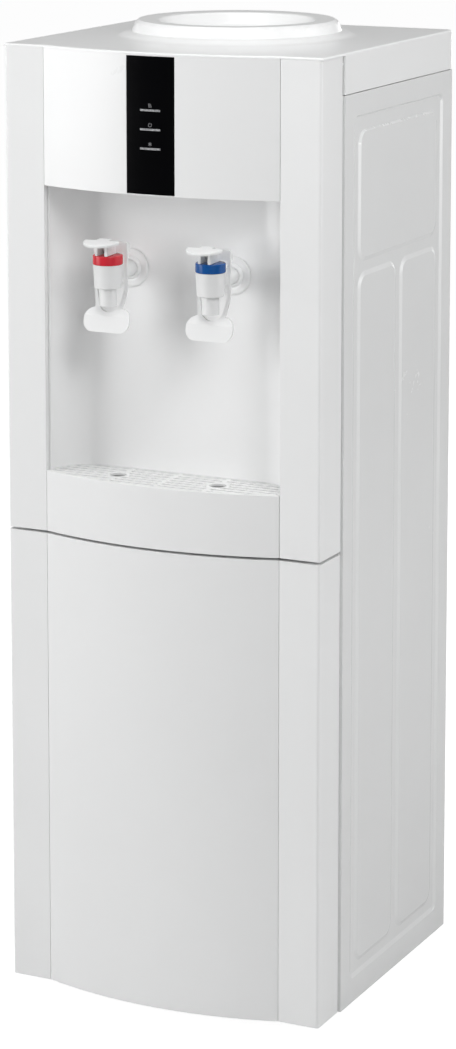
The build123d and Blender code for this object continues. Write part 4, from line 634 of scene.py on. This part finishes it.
def screw_head(name, x, y, z):
    """A button head on the back panel, facing backwards."""
    work = bmesh.new()
    rings = []
    for radius, rise, six_sided in screw_profile:
        loop = []
        for k in range(screw_sides):
            turn = 2 * pi * k / screw_sides
            reach = radius / cos((turn + pi / 6) % (pi / 3) - pi / 6) if six_sided else radius
            px, pz = x + reach * cos(turn), z + reach * sin(turn)
            loop.append(work.verts.new((px * millimetre, (y + rise) * millimetre, pz * millimetre)))
        rings.append(loop)
    for low, high in zip(rings, rings[1:]):
        for k in range(screw_sides):
            after = (k + 1) % screw_sides
            work.faces.new((low[k], low[after], high[after], high[k]))
    work.faces.new(rings[0])
    work.faces.new(rings[-1])
    bmesh.ops.recalc_face_normals(work, faces=work.faces)
    head = piece_from(work, name)
    head.data.materials.append(materials["bright_steel"])
    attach(head, body_of["back_panel"])
    return head


flange_x, flange_face = 167.0, 172.0
flange_heights = (60.0, 275.0, 490.0, 705.0, 905.0)
back_face, fan_height, fan_reach = 171.0, 790.0, 40.0
flange_screws = [(side * flange_x, flange_face, z) for side in (-1, 1) for z in flange_heights]
fan_corners = [(side * fan_reach, end * fan_reach) for side in (-1, 1) for end in (-1, 1)]
fan_screws = [(x, back_face, fan_height + rise) for x, rise in fan_corners]
for k, spot in enumerate(flange_screws + fan_screws):
    screw_head(f"back_screw_{k + 1}", *spot)
print("screws", len(flange_screws), "on the flanges and", len(fan_screws), "on the fan")

# %% [markdown]
# ## The camera
# The photograph was taken from the front right, a little above the cooler, with a long lens. The
# place, turn and lens below were fitted to the cabinet's own corners. The photograph's uprights are
# parallel, which a tilted camera can't do and a shifted lens can. The shift here goes as far as the
# whole cooler stays in view from other sides too, and a small tilt makes up the rest.

# %% Camera
tilt_down, turn_left = 8.6, 25.777
lens = bpy.data.cameras.new("studio_camera")
lens.lens = 113.99
lens.shift_y = -0.288
camera = bpy.data.objects.new("studio_camera", lens)
camera.location = (1.4455, -2.9937, 1.2846)
camera.rotation_euler = (radians(90 - tilt_down), 0, radians(turn_left))
bpy.context.scene.collection.objects.link(camera)
bpy.context.scene.camera = camera
bpy.context.scene.view_settings.view_transform = "Standard"
print("camera at", [round(v, 3) for v in camera.location])

# %% [markdown]
# ## Floor and backdrop
# The studio is white all round. A white floor lit to white would also flood the object from below,
# so the floor only looks white to the camera: there it adds a plain glow to a thin share of its own
# shading, and the object's soft shadow still shows in that share. The world does the same, white to
# the camera and faint to everything else.

# %% Floor
floor_radius = 14.0


def white_to_camera(tree, unseen, seen, target):
    """Lead one shader to target for what the camera sees, and another for all other rays."""
    path = put(tree, "ShaderNodeLightPath")
    looked_at = sum_up(tree, "MAXIMUM", path.outputs["Is Camera Ray"], path.outputs["Is Transmission Ray"])
    choice = put(tree, "ShaderNodeMixShader")
    tree.links.new(looked_at, choice.inputs[0])
    tree.links.new(unseen.outputs[0], choice.inputs[1])
    tree.links.new(seen.outputs[0], choice.inputs[2])
    tree.links.new(choice.outputs[0], target)


def disc(name, radius, sides=96):
    """A flat round mesh on the floor."""
    work = bmesh.new()
    turns = [2 * pi * k / sides for k in range(sides)]
    work.faces.new([work.verts.new((radius * cos(turn), radius * sin(turn), 0)) for turn in turns])
    return piece_from(work, name)


floor = disc("studio_floor", floor_radius)
paper = bpy.data.materials.new("studio_paper")
paper.use_nodes = True
tree = paper.node_tree
tree.nodes.remove(tree.nodes["Principled BSDF"])
matt = put(tree, "ShaderNodeBsdfDiffuse", color=(0.62, 0.62, 0.62, 1))
faint = put(tree, "ShaderNodeBsdfDiffuse", color=(0.30, 0.30, 0.31, 1))
glow = put(tree, "ShaderNodeEmission", strength=0.95)
glowing = put(tree, "ShaderNodeAddShader")
tree.links.new(faint.outputs[0], glowing.inputs[0])
tree.links.new(glow.outputs[0], glowing.inputs[1])
white_to_camera(tree, matt, glowing, tree.nodes["Material Output"].inputs[0])
floor.data.materials.append(paper)
print("floor", floor_radius, "m in radius")

# %% World
world = bpy.data.worlds.new("studio_world")
bpy.context.scene.world = world
world.use_nodes = True
tree = world.node_tree
surround = tree.nodes["Background"]
surround.inputs["Color"].default_value = (1, 1, 1, 1)
surround.inputs["Strength"].default_value = 0.10
backdrop = put(tree, "ShaderNodeBackground", color=(1, 1, 1, 1), strength=1.0)
white_to_camera(tree, surround, backdrop, tree.nodes["World Output"].inputs[0])
print("world strength", surround.inputs["Strength"].default_value)

# %% [markdown]
# ## Light
# The main light is a large soft source at the left and front, with a weaker one at the front right
# and one for each side, the back and the top. A small lamp high at the front right draws the edges
# of the pressings. A mirror image of a lamp would burn out the white plastic, so the lamps keep away
# from the places that the top and the black strip mirror.

# %% Lamps
def soft_lamp(name, place, target, size, power):
    """A square area lamp at place, turned towards target."""
    data = bpy.data.lights.new(name, "AREA")
    data.size = size
    data.energy = power
    lamp = bpy.data.objects.new(name, data)
    lamp.location = place
    lamp.rotation_euler = (Vector(target) - Vector(place)).to_track_quat("-Z", "Y").to_euler()
    bpy.context.scene.collection.objects.link(lamp)
    return lamp


def round_the_cooler(azimuth, distance, height):
    """A place beside the cooler; azimuth 0 is straight in front of it and 90 is at its right side."""
    return (distance * sin(radians(azimuth)), -distance * cos(radians(azimuth)), height)


middle = (0, 0, 0.55)
soft_lamp("key_left", round_the_cooler(-53, 2.7, 1.2), middle, 1.7, 45.0)
soft_lamp("front_right", round_the_cooler(40, 2.9, 1.3), middle, 1.4, 9.0)
soft_lamp("edge_right", round_the_cooler(48, 1.7, 1.9), middle, 0.7, 13.0)
soft_lamp("side_right", round_the_cooler(112, 2.5, 1.2), middle, 1.6, 25.0)
soft_lamp("left_side", round_the_cooler(-112, 2.8, 0.8), middle, 1.4, 8.0)
soft_lamp("back", round_the_cooler(180, 2.6, 0.7), middle, 1.0, 10.0)
soft_lamp("top", (0.0, -0.5, 2.9), middle, 1.6, 27.0)
